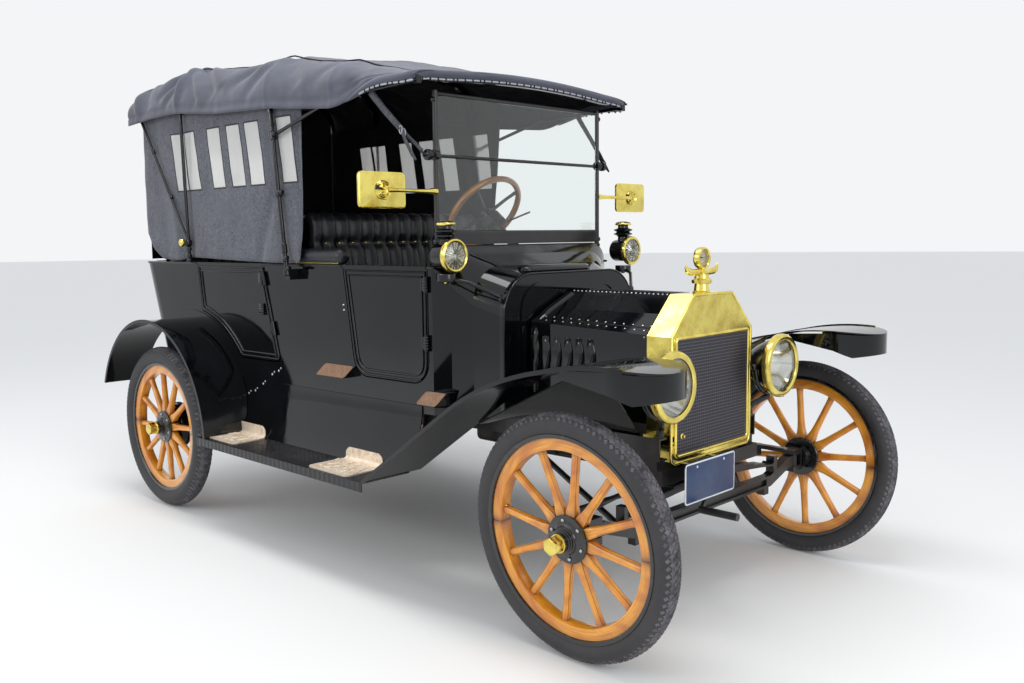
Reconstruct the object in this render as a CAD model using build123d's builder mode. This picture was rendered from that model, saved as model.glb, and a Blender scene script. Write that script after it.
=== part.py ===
from build123d import *
from math import cos, radians, sin, sqrt
import os

# Antique open touring car with a folding fabric top.
# Millimetres. +X is forward, +Y the car's left, +Z up. The origin is on the
# ground, at the middle of the car's length and width.

os.makedirs("parts", exist_ok=True)

# Layout: lengths run back from the front axle
wheelbase = 2540
track = 1422
wheel_diameter = 762
rear_fender_radius = 512
radiator_lead = 29
radiator_depth = 99
hood_length = 530
firewall_thickness = 25
cowl_length = 220
door_post = 26
front_door_length = 485
middle_panel_length = 550
rear_door_length = 548
tail_length = 586
running_clearance = 5
seat_gap = 0.3

wheel_radius = wheel_diameter / 2
overall_length = rear_fender_radius + wheelbase + wheel_radius
front_x = overall_length / 2 - wheel_radius
rear_x = front_x - wheelbase
radiator_x = front_x + radiator_lead
hood_front_x = radiator_x - radiator_depth
firewall_x = hood_front_x - hood_length
cowl_x = firewall_x - firewall_thickness
screen_x = cowl_x - cowl_length
front_door_x = screen_x - door_post
middle_x = front_door_x - front_door_length
rear_door_x = middle_x - middle_panel_length
quarter_x = rear_door_x - rear_door_length
tail_x = quarter_x - tail_length
sides = (("right", -1), ("left", 1))

# Wheels: wooden spokes and felloe in a steel rim
tyre_section = {"front": 76, "rear": 89}
rim_thickness = 12
rim_width = 58
felloe_depth = 36
felloe_width = 44
spoke_count = 12
spoke_root_width = 38
spoke_tip_width = 27
spoke_thickness = 30
hub_flange_radius = 74
hub_flange_thickness = 7
hub_barrel_radius = 36
hub_cap_radius = 27
hub_cap_reach = 98
hub_inner_reach = 44
hub_bore_radius = 20
front_camber = 4
brake_drum_radius = 102
brake_drum_width = 34

# Frame
frame_top = 611
frame_rail_height = 76
frame_half_width = 298
rail_flange = 44
rail_steel = 6
frame_nose = 20
frame_tail = 60
cross_width = 60
front_cross_top = 505
front_cross_bottom = 455
middle_cross_setback = 1080
rear_bracket_setback = 1960

# Axles, springs and steering
kingpin_offset = 92
kingpin_radius = 11
yoke_ear = 21
yoke_width = 46
yoke_back = 14
axle_drop = 46
axle_beam_height = 42
axle_beam_width = 34
axle_web = 12
perch_width = 26
spindle_radius = 19.5
arm_length = 150
arm_width = 26
arm_thickness = 16
rod_end_height = 28
tie_rod_radius = 9
link_offset = 90
wishbone_y = 400
wishbone_length = 800
wishbone_radius = 11
spring_width = 46
spring_leaf = 7
spring_leaves = 5
front_spring_half = 440
front_spring_rise = 30
rear_spring_half = 560
rear_spring_rise = 78
axle_tube_radius = 32
axle_housing_radius = 128
torque_tube_radius = 30

# Steering column
column_radius = 19
column_y = 205
column_tilt = 37.7
column_length = 1422
steering_setback = 1290
steering_height = 1370
steering_wheel_radius = 195
steering_rim_radius = 13
wheel_boss_depth = 44
gear_case_radius = 48
gear_case_depth = 50
foot_length = 90
pin_length = 60
ball_arm_length = 130
lever_reach = 150

# Engine, in plain blocks
engine_setback = 60
engine_half_width = 105
engine_top = 870
engine_bottom = 455
pan_bottom = 430
gearbox_half_width = 112
gearbox_length = 400
gearbox_top = 596
engine_arm_drop = 15
exhaust_radius = 18
exhaust_y = 150
muffler_radius = 50
muffler_length = 420
muffler_y = 195
tail_pipe_length = 120

# Radiator, hood and firewall
radiator_half_width = 245
radiator_shoulder = 937
radiator_top = 1068
radiator_flat = 114
radiator_waist = 590
radiator_foot_half = 205
radiator_foot = 515
core_half_width = 223
core_bottom = 582
core_top = 931
core_slot = 6
core_pitch = 18
neck_radius = 22
neck_height = 40
cap_wing = 110
gauge_radius = 38
hood_half_front = 236
hood_half_rear = 250
hood_crease_front = 938
hood_crease_rear = 956
hood_hinge_z = 1064
hood_leaf = 150
hood_leaf_drop = 62
hood_sheet = 4
hood_bottom = 640
hinge_rod_radius = 5
louvre_count = 6
louvre_pitch = 51
louvre_first = 224
louvre_height = 137
louvre_bottom = 771
louvre_depth = 12
louvre_width = 24
firewall_half_width = 375
firewall_top = 1130
firewall_corner = 150
ledge_depth = 6
ledge_half_width = 290
ledge_width = 24

# Body
sill_z = 640
rail_z = 1150
rail_bead = 10
bead_overhang = 6
wall = 30
body_front_half = 500
body_tail_half = 590
tail_radius = 160
tail_lean = 164
cowl_wall = 14
cowl_top = 1236
cowl_corner = 86
hinge_radius = 8
hinge_height = 60
front_door_bottom = 725
rear_door_bottom = 735
rear_door_slant = 106
door_sweep = 565
pedal_pitch = 70

# Seats
cushion_depth = 430
cushion_height = 130
seat_height = 860
cushion_round = 30
front_seat_advance = 150
rear_seat_advance = 10
front_back_top = 1378
backrest_thickness = 110
backrest_lean = 45
rear_back_top = 1320
arm_roll_radius = 32
riser_wall = 18

# Windscreen and top
screen_half_width = 470
screen_board_height = 44
screen_bottom = 1282
screen_fold = 1560
screen_top = 1792
screen_tube = 10
screen_rail = 8
fold_rail = 6
screen_foot = 1176
glass_thickness = 6
top_half_width = 600
canvas = 8
iron_radius = 9
iron_y = 580
bow_depth = 22
knuckle_radius = 15
knuckle_rise = 100
arm_share = 0.8
elbow_drop = 24
strap_share = 0.47
bow_width = 20
curtain_sheet = 6
curtain_bottom = 1168
curtain_top = 1826
roof_sections = (
    # back from the windscreen, edge height, shoulder height, crown height
    (-45, 1800, 1848, 1870),
    (455, 1822, 1955, 1985),
    (910, 1829, 2030, 2056),
    (1680, 1850, 2072, 2100),
    (2102, 1857, 2045, 2075),
    (2190, 1862, 1985, 2010),
)
roof_shoulder_inset = 150

# Fenders and running boards
fender_outer = 798
fender_sheet = 5
bead_width = 9
bead_rise = 4
bead_fall = 10
fender_front_inner = 520
front_fender_tip = 337
rear_tip_z = 552
board_top = 403
board_inner = 576
board_front_setback = 905
board_rear_setback = 2093
board_edge = 34
apron_sheet = 4

# Lamps, mirrors, plate and crank
headlamp_y = 335
headlamp_z = 793
headlamp_radius = 115
headlamp_lead = 115
headlamp_depth = 165
side_lamp_y = 512
side_lamp_z = 1200
side_lamp_radius = 62
side_lamp_setback = 700
lamp_grip_z = 1045
lamp_grip_height = 24
mirror_y = 705
mirror_z = 1431
mirror_width = 205
mirror_height = 126
plate_width = 297
plate_height = 135
plate_y = -115
plate_bottom = 397
crank_z = 480
crank_throw = 170


def body_half(x):
    """Half-width of the body at a station; it widens evenly to the tail."""
    share = (screen_x - x) / (screen_x - tail_x)
    return body_front_half + share * (body_tail_half - body_front_half)


def body_plan(z, inset):
    """Plan of the body at a height, inset from its outer face; the tail leans back as it rises."""
    back = tail_x + tail_lean * (rail_z - z) / (rail_z - sill_z) + inset
    corner = tail_radius - inset
    front_y = body_front_half - inset
    side_y = body_half(back + corner) - inset
    turn = corner * (1 - sqrt(0.5))
    with BuildSketch() as plan:
        with BuildLine():
            Line((screen_x, -front_y), (back + corner, -side_y))
            ThreePointArc((back + corner, -side_y), (back + turn, -side_y + turn), (back, -side_y + corner))
            Line((back, -side_y + corner), (back, side_y - corner))
            ThreePointArc((back, side_y - corner), (back + turn, side_y - turn), (back + corner, side_y))
            Line((back + corner, side_y), (screen_x, front_y))
            Line((screen_x, front_y), (screen_x, -front_y))
        make_face()
    return plan.sketch


def arch(half, bottom, top, corner):
    """Arch outline: straight sides, round shoulders, flat crown."""
    turn = corner * (1 - sqrt(0.5))
    with BuildSketch() as outline:
        with BuildLine():
            Line((-half, bottom), (half, bottom))
            Line((half, bottom), (half, top - corner))
            ThreePointArc((half, top - corner), (half - turn, top - turn), (half - corner, top))
            Line((half - corner, top), (-half + corner, top))
            ThreePointArc((-half + corner, top), (-half + turn, top - turn), (-half, top - corner))
            Line((-half, top - corner), (-half, bottom))
        make_face()
    return outline.sketch


def roof_arch(edge, shoulder, crown, inset, below):
    """Cross-section of the top: short upright edges, round shoulders, low crown."""
    half = top_half_width - inset
    lift = 28
    edge_z = edge + lift - inset * 0.2
    shoulder_y = top_half_width - roof_shoulder_inset - inset * 0.5
    shoulder_z = shoulder - inset * 0.93
    crown_z = crown - inset
    bend_y = half - 34 - inset * 0.1
    bend_z = edge_z + (shoulder_z - edge_z) * 0.68
    with BuildSketch() as outline:
        with BuildLine():
            Line((-half, edge - below), (half, edge - below))
            Line((half, edge - below), (half, edge_z))
            ThreePointArc((half, edge_z), (bend_y, bend_z), (shoulder_y, shoulder_z))
            ThreePointArc((shoulder_y, shoulder_z), (0, crown_z), (-shoulder_y, shoulder_z))
            ThreePointArc((-shoulder_y, shoulder_z), (-bend_y, bend_z), (-half, edge_z))
            Line((-half, edge_z), (-half, edge - below))
        make_face()
    return outline.sketch


def across(x):
    """Plane across the car at a station, facing forward: local x is Y, local y is Z."""
    return Plane(origin=(x, 0, 0), x_dir=(0, 1, 0), z_dir=(1, 0, 0))


def rod(start, end, radius):
    """Round bar between two points."""
    begin, tip = Vector(*start), Vector(*end)
    with BuildPart() as bar:
        with BuildSketch(Plane(origin=begin, z_dir=tip - begin)):
            Circle(radius)
        extrude(amount=(tip - begin).length)
    return bar.part


def spun(axis, *points):
    """Solid turned about an axis from a closed outline."""
    with BuildPart() as turned:
        with BuildSketch(Plane.XY):
            with BuildLine():
                Polyline(*points, close=True)
            make_face()
        revolve(axis=axis)
    return turned.part


def finish(part, name):
    """Label a piece and write its file."""
    part.label = name
    export_step(part, f"parts/{name}.step")


# Frame: two channel rails, cross members, and running board brackets
rail_front = front_x + frame_nose
rail_rear = rear_x - frame_tail
rail_bottom = frame_top - frame_rail_height
rail_middle = frame_top - frame_rail_height / 2
middle_cross_x = front_x - middle_cross_setback
bracket_foot = board_top - apron_sheet - seat_gap
with BuildPart() as frame:
    for name, side in sides:
        with BuildSketch(across(rail_rear)):
            with Locations((side * (frame_half_width - rail_flange / 2), rail_middle)):
                Rectangle(rail_flange, frame_rail_height)
            with Locations((side * (frame_half_width - rail_flange / 2 - rail_steel), rail_middle)):
                Rectangle(rail_flange, frame_rail_height - 2 * rail_steel, mode=Mode.SUBTRACT)
        extrude(amount=rail_front - rail_rear)
    for x in (middle_cross_x, rear_x):
        with Locations((x, 0, rail_middle + rail_steel)):
            Box(cross_width, 2 * frame_half_width - 2 * rail_steel, frame_rail_height - 2 * rail_steel)
    with Locations((front_x, 0, (front_cross_top + front_cross_bottom) / 2)):
        Box(cross_width, 2 * frame_half_width, front_cross_top - front_cross_bottom)
    with Locations((front_x, 0, crank_z)):
        Cylinder(2 * kingpin_radius, 2 * cross_width, rotation=(0, 90, 0), mode=Mode.SUBTRACT)
    rail_y = frame_half_width - rail_flange / 2
    for name, side in sides:
        with Locations((front_x - 10, side * rail_y, (front_cross_top + rail_bottom) / 2)):
            Box(cross_width - 20, rail_flange, rail_bottom - front_cross_top + 2)
        for x in (middle_cross_x, front_x - rear_bracket_setback):
            with BuildSketch(across(x - cross_width / 4)):
                with BuildLine():
                    Polyline(
                        (side * (frame_half_width - 1), frame_top - 12),
                        (side * (frame_half_width + 12), frame_top - 12),
                        (side * (frame_half_width + 60), bracket_foot - 16),
                        (side * (fender_outer - 20), bracket_foot - 8),
                        (side * (fender_outer - 20), bracket_foot),
                        (side * (frame_half_width + 70), bracket_foot),
                        (side * (frame_half_width + 26), frame_top),
                        (side * (frame_half_width - 1), frame_top),
                        close=True,
                    )
                make_face()
            extrude(amount=cross_width / 2)
finish(frame.part, "frame")


# Wheels
def tyre(axle):
    """Tyre about the Y axis, with the seat for its rim."""
    section = tyre_section[axle]
    seat_radius = wheel_radius - section
    with BuildPart() as ring:
        with BuildSketch(Plane.XY):
            with Locations((wheel_radius - section / 2, 0)):
                Circle(section / 2)
            with Locations((seat_radius, 0)):
                Rectangle(2 * rim_thickness, section, mode=Mode.SUBTRACT)
        revolve(axis=Axis.Y)
    return ring.part


def wooden_wheel(axle):
    """Steel rim, wooden felloe and spokes, about the Y axis."""
    rim_outer = wheel_radius - tyre_section[axle] + rim_thickness - seat_gap
    felloe_outer = rim_outer - rim_thickness
    felloe_inner = felloe_outer - felloe_depth
    rings = (
        # outer radius, inner radius, width
        (felloe_outer, felloe_inner, felloe_width),
        (rim_outer, felloe_outer - 2, rim_width),
    )
    with BuildPart() as wood:
        for outer, inner, width in rings:
            with BuildSketch(Plane.XZ.offset(-width / 2)):
                Circle(outer)
                Circle(inner, mode=Mode.SUBTRACT)
            extrude(amount=width)
        with BuildSketch(Plane.XZ.offset(-spoke_thickness / 2)):
            Circle(hub_flange_radius - hub_flange_thickness)
        extrude(amount=spoke_thickness)
        for index in range(spoke_count):
            angle = radians(index * 360 / spoke_count)
            direction = Vector(cos(angle), 0, sin(angle))
            root = Plane(origin=direction * hub_barrel_radius, x_dir=(0, 1, 0), z_dir=direction)
            with BuildSketch(root):
                Ellipse(spoke_thickness / 2 - 0.5, spoke_root_width / 2)
            with BuildSketch(root.offset(felloe_inner + felloe_depth / 2 - hub_barrel_radius)):
                Ellipse(spoke_thickness / 2 - 2, spoke_tip_width / 2)
            loft(ruled=True)
        with BuildSketch(Plane.XZ.offset(-rim_width)):
            Circle(hub_barrel_radius)
        extrude(amount=2 * rim_width, mode=Mode.SUBTRACT)
    return wood.part


def hub(axle, side):
    """Barrel, the two flanges that grip the spokes, the screwed cap, and the rear brake drum."""
    grip = side * (spoke_thickness / 2 + seat_gap)
    flange = grip + side * hub_flange_thickness
    bore_end = flange + side * 26
    inner = -side * hub_inner_reach
    profile = [
        (hub_bore_radius, inner),
        (hub_barrel_radius + 2, inner),
        (hub_barrel_radius + 8, -flange),
        (hub_flange_radius, -flange),
        (hub_flange_radius, -grip),
        (hub_barrel_radius - seat_gap, -grip),
        (hub_barrel_radius - seat_gap, grip),
        (hub_flange_radius, grip),
        (hub_flange_radius, flange),
        (hub_barrel_radius + 6, flange),
        (hub_barrel_radius, flange + side * 20),
        (hub_cap_radius, bore_end),
        (hub_cap_radius, side * (hub_cap_reach - 6)),
        (hub_cap_radius - 6, side * hub_cap_reach),
        (0, side * hub_cap_reach),
        (0, bore_end),
        (hub_bore_radius, bore_end),
    ]
    if axle == "rear":
        drum_edge = -flange - side * brake_drum_width
        profile[2:4] = [
            (hub_barrel_radius + 2, -flange - side * hub_flange_thickness),
            (brake_drum_radius - 4, -flange - side * hub_flange_thickness),
            (brake_drum_radius - 4, drum_edge),
            (brake_drum_radius, drum_edge),
            (brake_drum_radius, -flange),
            (hub_flange_radius, -flange),
        ]
    return spun(Axis.Y, *profile)


front_section = tyre_section["front"] / 2
front_lift = (wheel_radius - front_section) * cos(radians(front_camber)) + front_section
wheel_places = (
    # axle, station, hub centre height, camber
    ("front", front_x, front_lift, front_camber),
    ("rear", rear_x, wheel_radius, 0),
)
for axle, x, z, camber in wheel_places:
    for name, side in sides:
        place = Location((x, side * track / 2, z), (-side * camber, 0, 0))
        finish(tyre(axle).moved(place), f"tyre_{axle}_{name}")
        finish(wooden_wheel(axle).moved(place), f"wheel_{axle}_{name}")
        finish(hub(axle, side).moved(place), f"hub_{axle}_{name}")

# Knuckles: yoke on the kingpin, spindle in the hub, and steering arm
kingpin_y = track / 2 - kingpin_offset
yoke_height = axle_beam_height + 2 * yoke_ear
yoke_face = kingpin_offset - hub_inner_reach - running_clearance
arm_z = front_lift + yoke_height / 2 - arm_thickness / 2
for name, side in sides:
    hub_place = Location((front_x, side * track / 2, front_lift), (-side * front_camber, 0, 0))
    spindle = rod(
        (0, -side * (kingpin_offset - yoke_face + yoke_back / 2), 0),
        (0, side * hub_inner_reach / 2, 0),
        spindle_radius,
    )
    with BuildPart() as knuckle:
        add(spindle.moved(hub_place))
        with Locations((front_x, side * (kingpin_y + yoke_face - yoke_back / 2), front_lift)):
            Box(yoke_width, yoke_back, yoke_height)
        for level in (-1, 1):
            ear_z = front_lift + level * (yoke_height / 2 - (yoke_ear - seat_gap) / 2)
            with Locations((front_x, side * (kingpin_y + (yoke_face - arm_width) / 2), ear_z)):
                Box(yoke_width, yoke_face + arm_width, yoke_ear - seat_gap)
        with Locations((front_x, side * kingpin_y, front_lift)):
            Cylinder(kingpin_radius, yoke_height)
        with Locations((front_x - arm_length / 2, side * kingpin_y, arm_z)):
            Box(arm_length, arm_width, arm_thickness)
        with Locations((front_x - arm_length, side * kingpin_y, arm_z)):
            Cylinder(arm_width * 0.7, arm_thickness)
    finish(knuckle.part, f"knuckle_{name}")

# Tie rod hung below the two arms, with the boss that the drag link hangs from
rod_z = arm_z - arm_thickness / 2 - seat_gap - rod_end_height / 2
rod_x = front_x - arm_length
link_y = link_offset - kingpin_y
with BuildPart() as tie_rod:
    add(rod((rod_x, -kingpin_y, rod_z), (rod_x, kingpin_y, rod_z), tie_rod_radius))
    for name, side in sides:
        with Locations((rod_x, side * kingpin_y, rod_z)):
            Cylinder(arm_width * 0.6, rod_end_height)
    with Locations((rod_x, link_y, rod_z)):
        Box(arm_width, arm_width, rod_end_height)
finish(tie_rod.part, "tie_rod")

# Steering column: wheel at its top, ball arm at its foot
column_away = Vector(-cos(radians(column_tilt)), 0, sin(radians(column_tilt)))
arm_down = Vector(-sin(radians(column_tilt)), 0, -cos(radians(column_tilt)))
wheel_centre = Vector(front_x - steering_setback, column_y, steering_height)


def along_column(distance):
    """Point on the column's axis, measured down from the steering wheel."""
    return wheel_centre - column_away * distance


shaft_foot = along_column(column_length)
ball_end = along_column(column_length - 16) + arm_down * ball_arm_length
column_end = along_column(column_length - foot_length)
pin_top = along_column(column_length - foot_length - pin_length)
case_top = along_column(wheel_boss_depth + seat_gap)
case_end = along_column(wheel_boss_depth + seat_gap + gear_case_depth)
web_y = frame_half_width - rail_steel - seat_gap
with BuildPart() as steering_column:
    add(rod(case_top, column_end, column_radius))
    add(rod(case_top, case_end, gear_case_radius))
    bracket = along_column(column_length - foot_length - pin_length)
    with Locations((bracket.X, (column_y + web_y) / 2, rail_middle)):
        Box(yoke_width, web_y - column_y, frame_rail_height - 3 * rail_steel)
    for side in (-1, 1):
        add(rod(case_end, case_end + Vector(60, side * lever_reach, 60), 4))
    add(rod(pin_top, column_end, kingpin_radius + seat_gap), mode=Mode.SUBTRACT)
finish(steering_column.part, "steering_column")
with BuildPart() as steering_shaft:
    add(rod(pin_top, shaft_foot, kingpin_radius))
    add(rod(column_end - column_away * seat_gap, shaft_foot, column_radius - 2))
    add(rod(along_column(column_length - 16), ball_end, 9))
finish(steering_shaft.part, "steering_shaft")
with BuildPart() as wheel_flat:
    with BuildSketch(Plane.XZ):
        with Locations((steering_wheel_radius - steering_rim_radius, 0)):
            Circle(steering_rim_radius)
    revolve(axis=Axis.Z)
    for index in range(4):
        angle = radians(45 + 90 * index)
        reach = steering_wheel_radius - steering_rim_radius
        add(rod((0, 0, -wheel_boss_depth / 2), (reach * cos(angle), reach * sin(angle), 0), 8))
    with Locations((0, 0, -wheel_boss_depth / 2)):
        Cylinder(32, wheel_boss_depth)
wheel_plane = Plane(origin=wheel_centre, x_dir=(0, 1, 0), z_dir=column_away)
finish(wheel_flat.part.moved(wheel_plane.location), "steering_wheel")

# Drag link, from its ball under the tie rod to its cup under the ball arm
link_end_height = 22
ball_bottom = ball_end.Z - 9
link_near = (rod_x, link_y, rod_z - rod_end_height / 2 - seat_gap - link_end_height / 2)
link_far = (ball_end.X, ball_end.Y, ball_bottom - seat_gap - link_end_height / 2)
with BuildPart() as drag_link:
    add(rod(link_near, link_far, tie_rod_radius))
    for place in (link_near, link_far):
        with Locations(place):
            Cylinder(14, link_end_height)
finish(drag_link.part, "drag_link")

# Front axle: drop-centre beam with bored ends, spring perches, and wishbone
beam_top = front_lift + axle_beam_height / 2
beam_low = front_lift - axle_beam_height / 2
drop_y = kingpin_y - 190
ramp_y = kingpin_y - 50
wishbone_eye = beam_low - axle_drop - 16
ball_x = front_x - wishbone_length
ball_radius = 22
ball_z = pan_bottom - seat_gap - ball_radius
with BuildPart() as front_axle:
    with BuildSketch(across(front_x - axle_beam_width / 2)):
        with BuildLine():
            Polyline(
                (-kingpin_y, beam_top), (-ramp_y, beam_top), (-drop_y, beam_top - axle_drop),
                (drop_y, beam_top - axle_drop), (ramp_y, beam_top), (kingpin_y, beam_top),
                (kingpin_y, beam_low), (ramp_y, beam_low), (drop_y, beam_low - axle_drop),
                (-drop_y, beam_low - axle_drop), (-ramp_y, beam_low), (-kingpin_y, beam_low),
                close=True,
            )
        make_face()
    extrude(amount=axle_beam_width)
    channel = ((axle_beam_width - axle_web) / 2, 2 * drop_y - 60, axle_beam_height - 18)
    for face in (-1, 1):
        with Locations((front_x + face * (axle_beam_width + axle_web) / 4, 0, front_lift - axle_drop)):
            Box(*channel, mode=Mode.SUBTRACT)
    for name, side in sides:
        with Locations((front_x, side * kingpin_y, front_lift)):
            Cylinder(axle_beam_width * 0.62, axle_beam_height)
            Cylinder(kingpin_radius + seat_gap, axle_beam_height, mode=Mode.SUBTRACT)
        perch_y = front_spring_half + 1.5 * spring_leaf + seat_gap + perch_width / 2
        with Locations((front_x, side * perch_y, beam_top - axle_drop / 2)):
            Box(axle_beam_width, perch_width, 2 * axle_drop)
        with Locations((front_x, side * wishbone_y, beam_low - axle_drop - 12)):
            Box(axle_beam_width - 4, 34, 30)
        add(rod((front_x, side * wishbone_y, wishbone_eye), (ball_x, 0, ball_z), wishbone_radius))
    with Locations((ball_x, 0, ball_z)):
        Sphere(ball_radius)
finish(front_axle.part, "front_axle")


# Springs: cross leaves, arched upward, longest leaf lowest
def cross_spring(x, half, rise, top):
    """Stack of curved leaves below a cross member, with end eyes."""
    radius = (half ** 2 + rise ** 2) / (2 * rise)
    with BuildPart() as stack:
        for index in range(spring_leaves):
            leaf_top = top - (spring_leaves - 1 - index) * spring_leaf
            reach = half * (1 - index / (spring_leaves + 1))
            outer = radius + index * spring_leaf
            inner = outer - spring_leaf
            drop = outer - sqrt(outer ** 2 - reach ** 2)
            low = leaf_top - spring_leaf
            low_drop = inner - sqrt(inner ** 2 - reach ** 2)
            with BuildSketch(across(x - spring_width / 2)):
                with BuildLine():
                    ThreePointArc((-reach, leaf_top - drop), (0, leaf_top), (reach, leaf_top - drop))
                    Line((reach, leaf_top - drop), (reach, low - low_drop))
                    ThreePointArc((reach, low - low_drop), (0, low), (-reach, low - low_drop))
                    Line((-reach, low - low_drop), (-reach, leaf_top - drop))
                make_face()
            extrude(amount=spring_width)
        main_top = top - (spring_leaves - 1) * spring_leaf
        for side in (-1, 1):
            eye = (x, side * half, main_top - rise - spring_leaf / 2)
            with Locations(eye):
                Cylinder(spring_leaf * 1.5, spring_width, rotation=(0, 90, 0))
    return stack.part


rear_cross_bottom = rail_middle + rail_steel - frame_rail_height / 2 + rail_steel
with BuildPart() as leaf_springs:
    add(cross_spring(front_x, front_spring_half, front_spring_rise, front_cross_bottom))
    add(cross_spring(rear_x, rear_spring_half, rear_spring_rise, rear_cross_bottom))
finish(leaf_springs.part, "leaf_springs")

# Rear axle: housing, tapered tubes, backing plates, perches and torque tube
drum_face = track / 2 - spoke_thickness / 2 - hub_flange_thickness - brake_drum_width
tube_end = drum_face - running_clearance - seat_gap
gearbox_rear = cowl_x - gearbox_length
gearbox_middle = (pan_bottom + gearbox_top) / 2
rear_eye_z = rear_cross_bottom - (spring_leaves - 0.5) * spring_leaf - rear_spring_rise
with BuildPart() as rear_axle:
    with Locations((rear_x, 0, wheel_radius)):
        Sphere(axle_housing_radius)
    for name, side in sides:
        with BuildSketch(Plane.XZ.offset(-side * 60)):
            with Locations((rear_x, wheel_radius)):
                Circle(axle_tube_radius + 22)
        with BuildSketch(Plane.XZ.offset(-side * tube_end)):
            with Locations((rear_x, wheel_radius)):
                Circle(axle_tube_radius)
        loft(ruled=True)
        add(rod((rear_x, side * (tube_end - 8), wheel_radius), (rear_x, side * tube_end, wheel_radius),
                brake_drum_radius + 6))
        add(rod((rear_x, side * tube_end, wheel_radius), (rear_x, side * (track / 2 + 20), wheel_radius),
                spindle_radius))
        perch_height = rear_eye_z - spring_leaf * 1.5 - seat_gap - wheel_radius
        with Locations((rear_x, side * rear_spring_half, wheel_radius + perch_height / 2)):
            Box(spring_width, perch_width, perch_height)
        add(rod((rear_x, side * (rear_spring_half - 30), wheel_radius),
                (gearbox_rear - 60, side * 20, gearbox_middle - 30), wishbone_radius))
    joint_z = gearbox_middle - 24
    add(rod((rear_x, 0, wheel_radius), (gearbox_rear - 20, 0, joint_z), torque_tube_radius))
    add(rod((gearbox_rear - 70, 0, joint_z), (gearbox_rear - seat_gap, 0, joint_z), 46))
finish(rear_axle.part, "rear_axle")

# Engine and gearbox, as one plain block with its pan and rear arms
engine_front = hood_front_x - engine_setback
with BuildPart() as engine:
    with BuildSketch(across(cowl_x)):
        with Locations((0, (engine_bottom + engine_top) / 2)):
            Rectangle(2 * engine_half_width, engine_top - engine_bottom)
    extrude(amount=engine_front - cowl_x)
    notch = (2 * firewall_thickness + 20, 2 * engine_half_width + 2, engine_top - frame_top + 30)
    with Locations(((cowl_x + firewall_x) / 2 - 10, 0, (engine_top + frame_top) / 2)):
        Box(*notch, mode=Mode.SUBTRACT)
    with BuildSketch(across(gearbox_rear)):
        with Locations((0, gearbox_middle)):
            RectangleRounded(2 * gearbox_half_width, gearbox_top - pan_bottom, 30)
    extrude(amount=firewall_x - gearbox_rear)
    with BuildSketch(across(firewall_x - 4)):
        with Locations((0, (pan_bottom + engine_bottom + 80) / 2)):
            RectangleRounded(2 * engine_half_width - 10, engine_bottom + 80 - pan_bottom, 24)
    extrude(amount=engine_front - firewall_x)
    arm_z0 = rail_bottom + rail_steel + seat_gap
    with Locations((cowl_x - 35, 0, arm_z0 + engine_arm_drop / 2)):
        Box(44, 2 * web_y, engine_arm_drop)
finish(engine.part, "engine")

# Exhaust: pipe down the right side to the muffler, hung from the rail
muffler_front = middle_cross_x - 60
muffler_z = rail_bottom - 3
pipe_z = gearbox_top - 6
muffler_rear = muffler_front - muffler_length
tail_end = muffler_rear - tail_pipe_length
manifold_x = firewall_x + firewall_thickness
low_x, low_y = middle_cross_x + 100, -exhaust_y - 10
exhaust_runs = (
    # start, end, radius
    ((manifold_x, -engine_half_width - seat_gap, pipe_z), (manifold_x, -exhaust_y, pipe_z), exhaust_radius),
    ((manifold_x + exhaust_radius, -exhaust_y, pipe_z), (cowl_x, -exhaust_y, pipe_z), exhaust_radius),
    ((cowl_x + 4, -exhaust_y, pipe_z), (low_x, low_y, rail_bottom - 25), exhaust_radius),
    ((low_x + 10, low_y, rail_bottom - 24), (muffler_front, -muffler_y, muffler_z - 20), exhaust_radius),
    ((muffler_front, -muffler_y, muffler_z), (muffler_rear, -muffler_y, muffler_z), muffler_radius),
    ((muffler_rear, -muffler_y, muffler_z), (tail_end, -muffler_y, muffler_z), exhaust_radius),
)
with BuildPart() as exhaust:
    for start, end, radius in exhaust_runs:
        add(rod(start, end, radius))
    for station in (0.15, 0.85):
        with Locations((muffler_front - station * muffler_length, -(muffler_y + web_y) / 2, arm_z0 + 4)):
            Box(30, web_y - muffler_y - 10, 8)
finish(exhaust.part, "exhaust")

# Radiator: brass shell, finned core, filler neck and gauge cap
with BuildPart() as radiator_shell:
    with BuildSketch(across(hood_front_x)):
        with BuildLine():
            Polyline(
                (-radiator_foot_half, radiator_foot), (radiator_foot_half, radiator_foot),
                (radiator_foot_half, radiator_waist - 20), (radiator_half_width, radiator_waist),
                (radiator_half_width, radiator_shoulder), (radiator_flat, radiator_top),
                (-radiator_flat, radiator_top), (-radiator_half_width, radiator_shoulder),
                (-radiator_half_width, radiator_waist), (-radiator_foot_half, radiator_waist - 20),
                close=True,
            )
        make_face()
    extrude(amount=radiator_depth)
    fillet(radiator_shell.faces().sort_by(Axis.X)[-1].outer_wire().edges(), 7)
    with Locations(((hood_front_x + radiator_x) / 2, 0, (core_bottom + core_top) / 2)):
        Box(2 * radiator_depth, 2 * core_half_width, core_top - core_bottom, mode=Mode.SUBTRACT)
    for name, side in sides:
        with Locations((front_x - 26, side * (radiator_half_width + 20), frame_top + seat_gap + 4)):
            Box(40, 60, 8)
    with Locations((radiator_x - radiator_depth / 2, 0, radiator_top + neck_height / 2 - 2)):
        Cylinder(neck_radius, neck_height)
finish(radiator_shell.part, "radiator_shell")
core_depth = radiator_depth - 12
with BuildPart() as radiator_core:
    with Locations((radiator_x - 6 - core_depth / 2, 0, (core_bottom + core_top) / 2)):
        Box(core_depth, 2 * (core_half_width - seat_gap), core_top - core_bottom - 2 * seat_gap)
    slots = int(2 * core_half_width / core_pitch) - 1
    with Locations((radiator_x - 6, 0, (core_bottom + core_top) / 2)):
        with GridLocations(1, core_pitch, 1, slots):
            Box(core_slot, core_pitch / 2, core_top - core_bottom - 20, mode=Mode.SUBTRACT)
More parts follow.
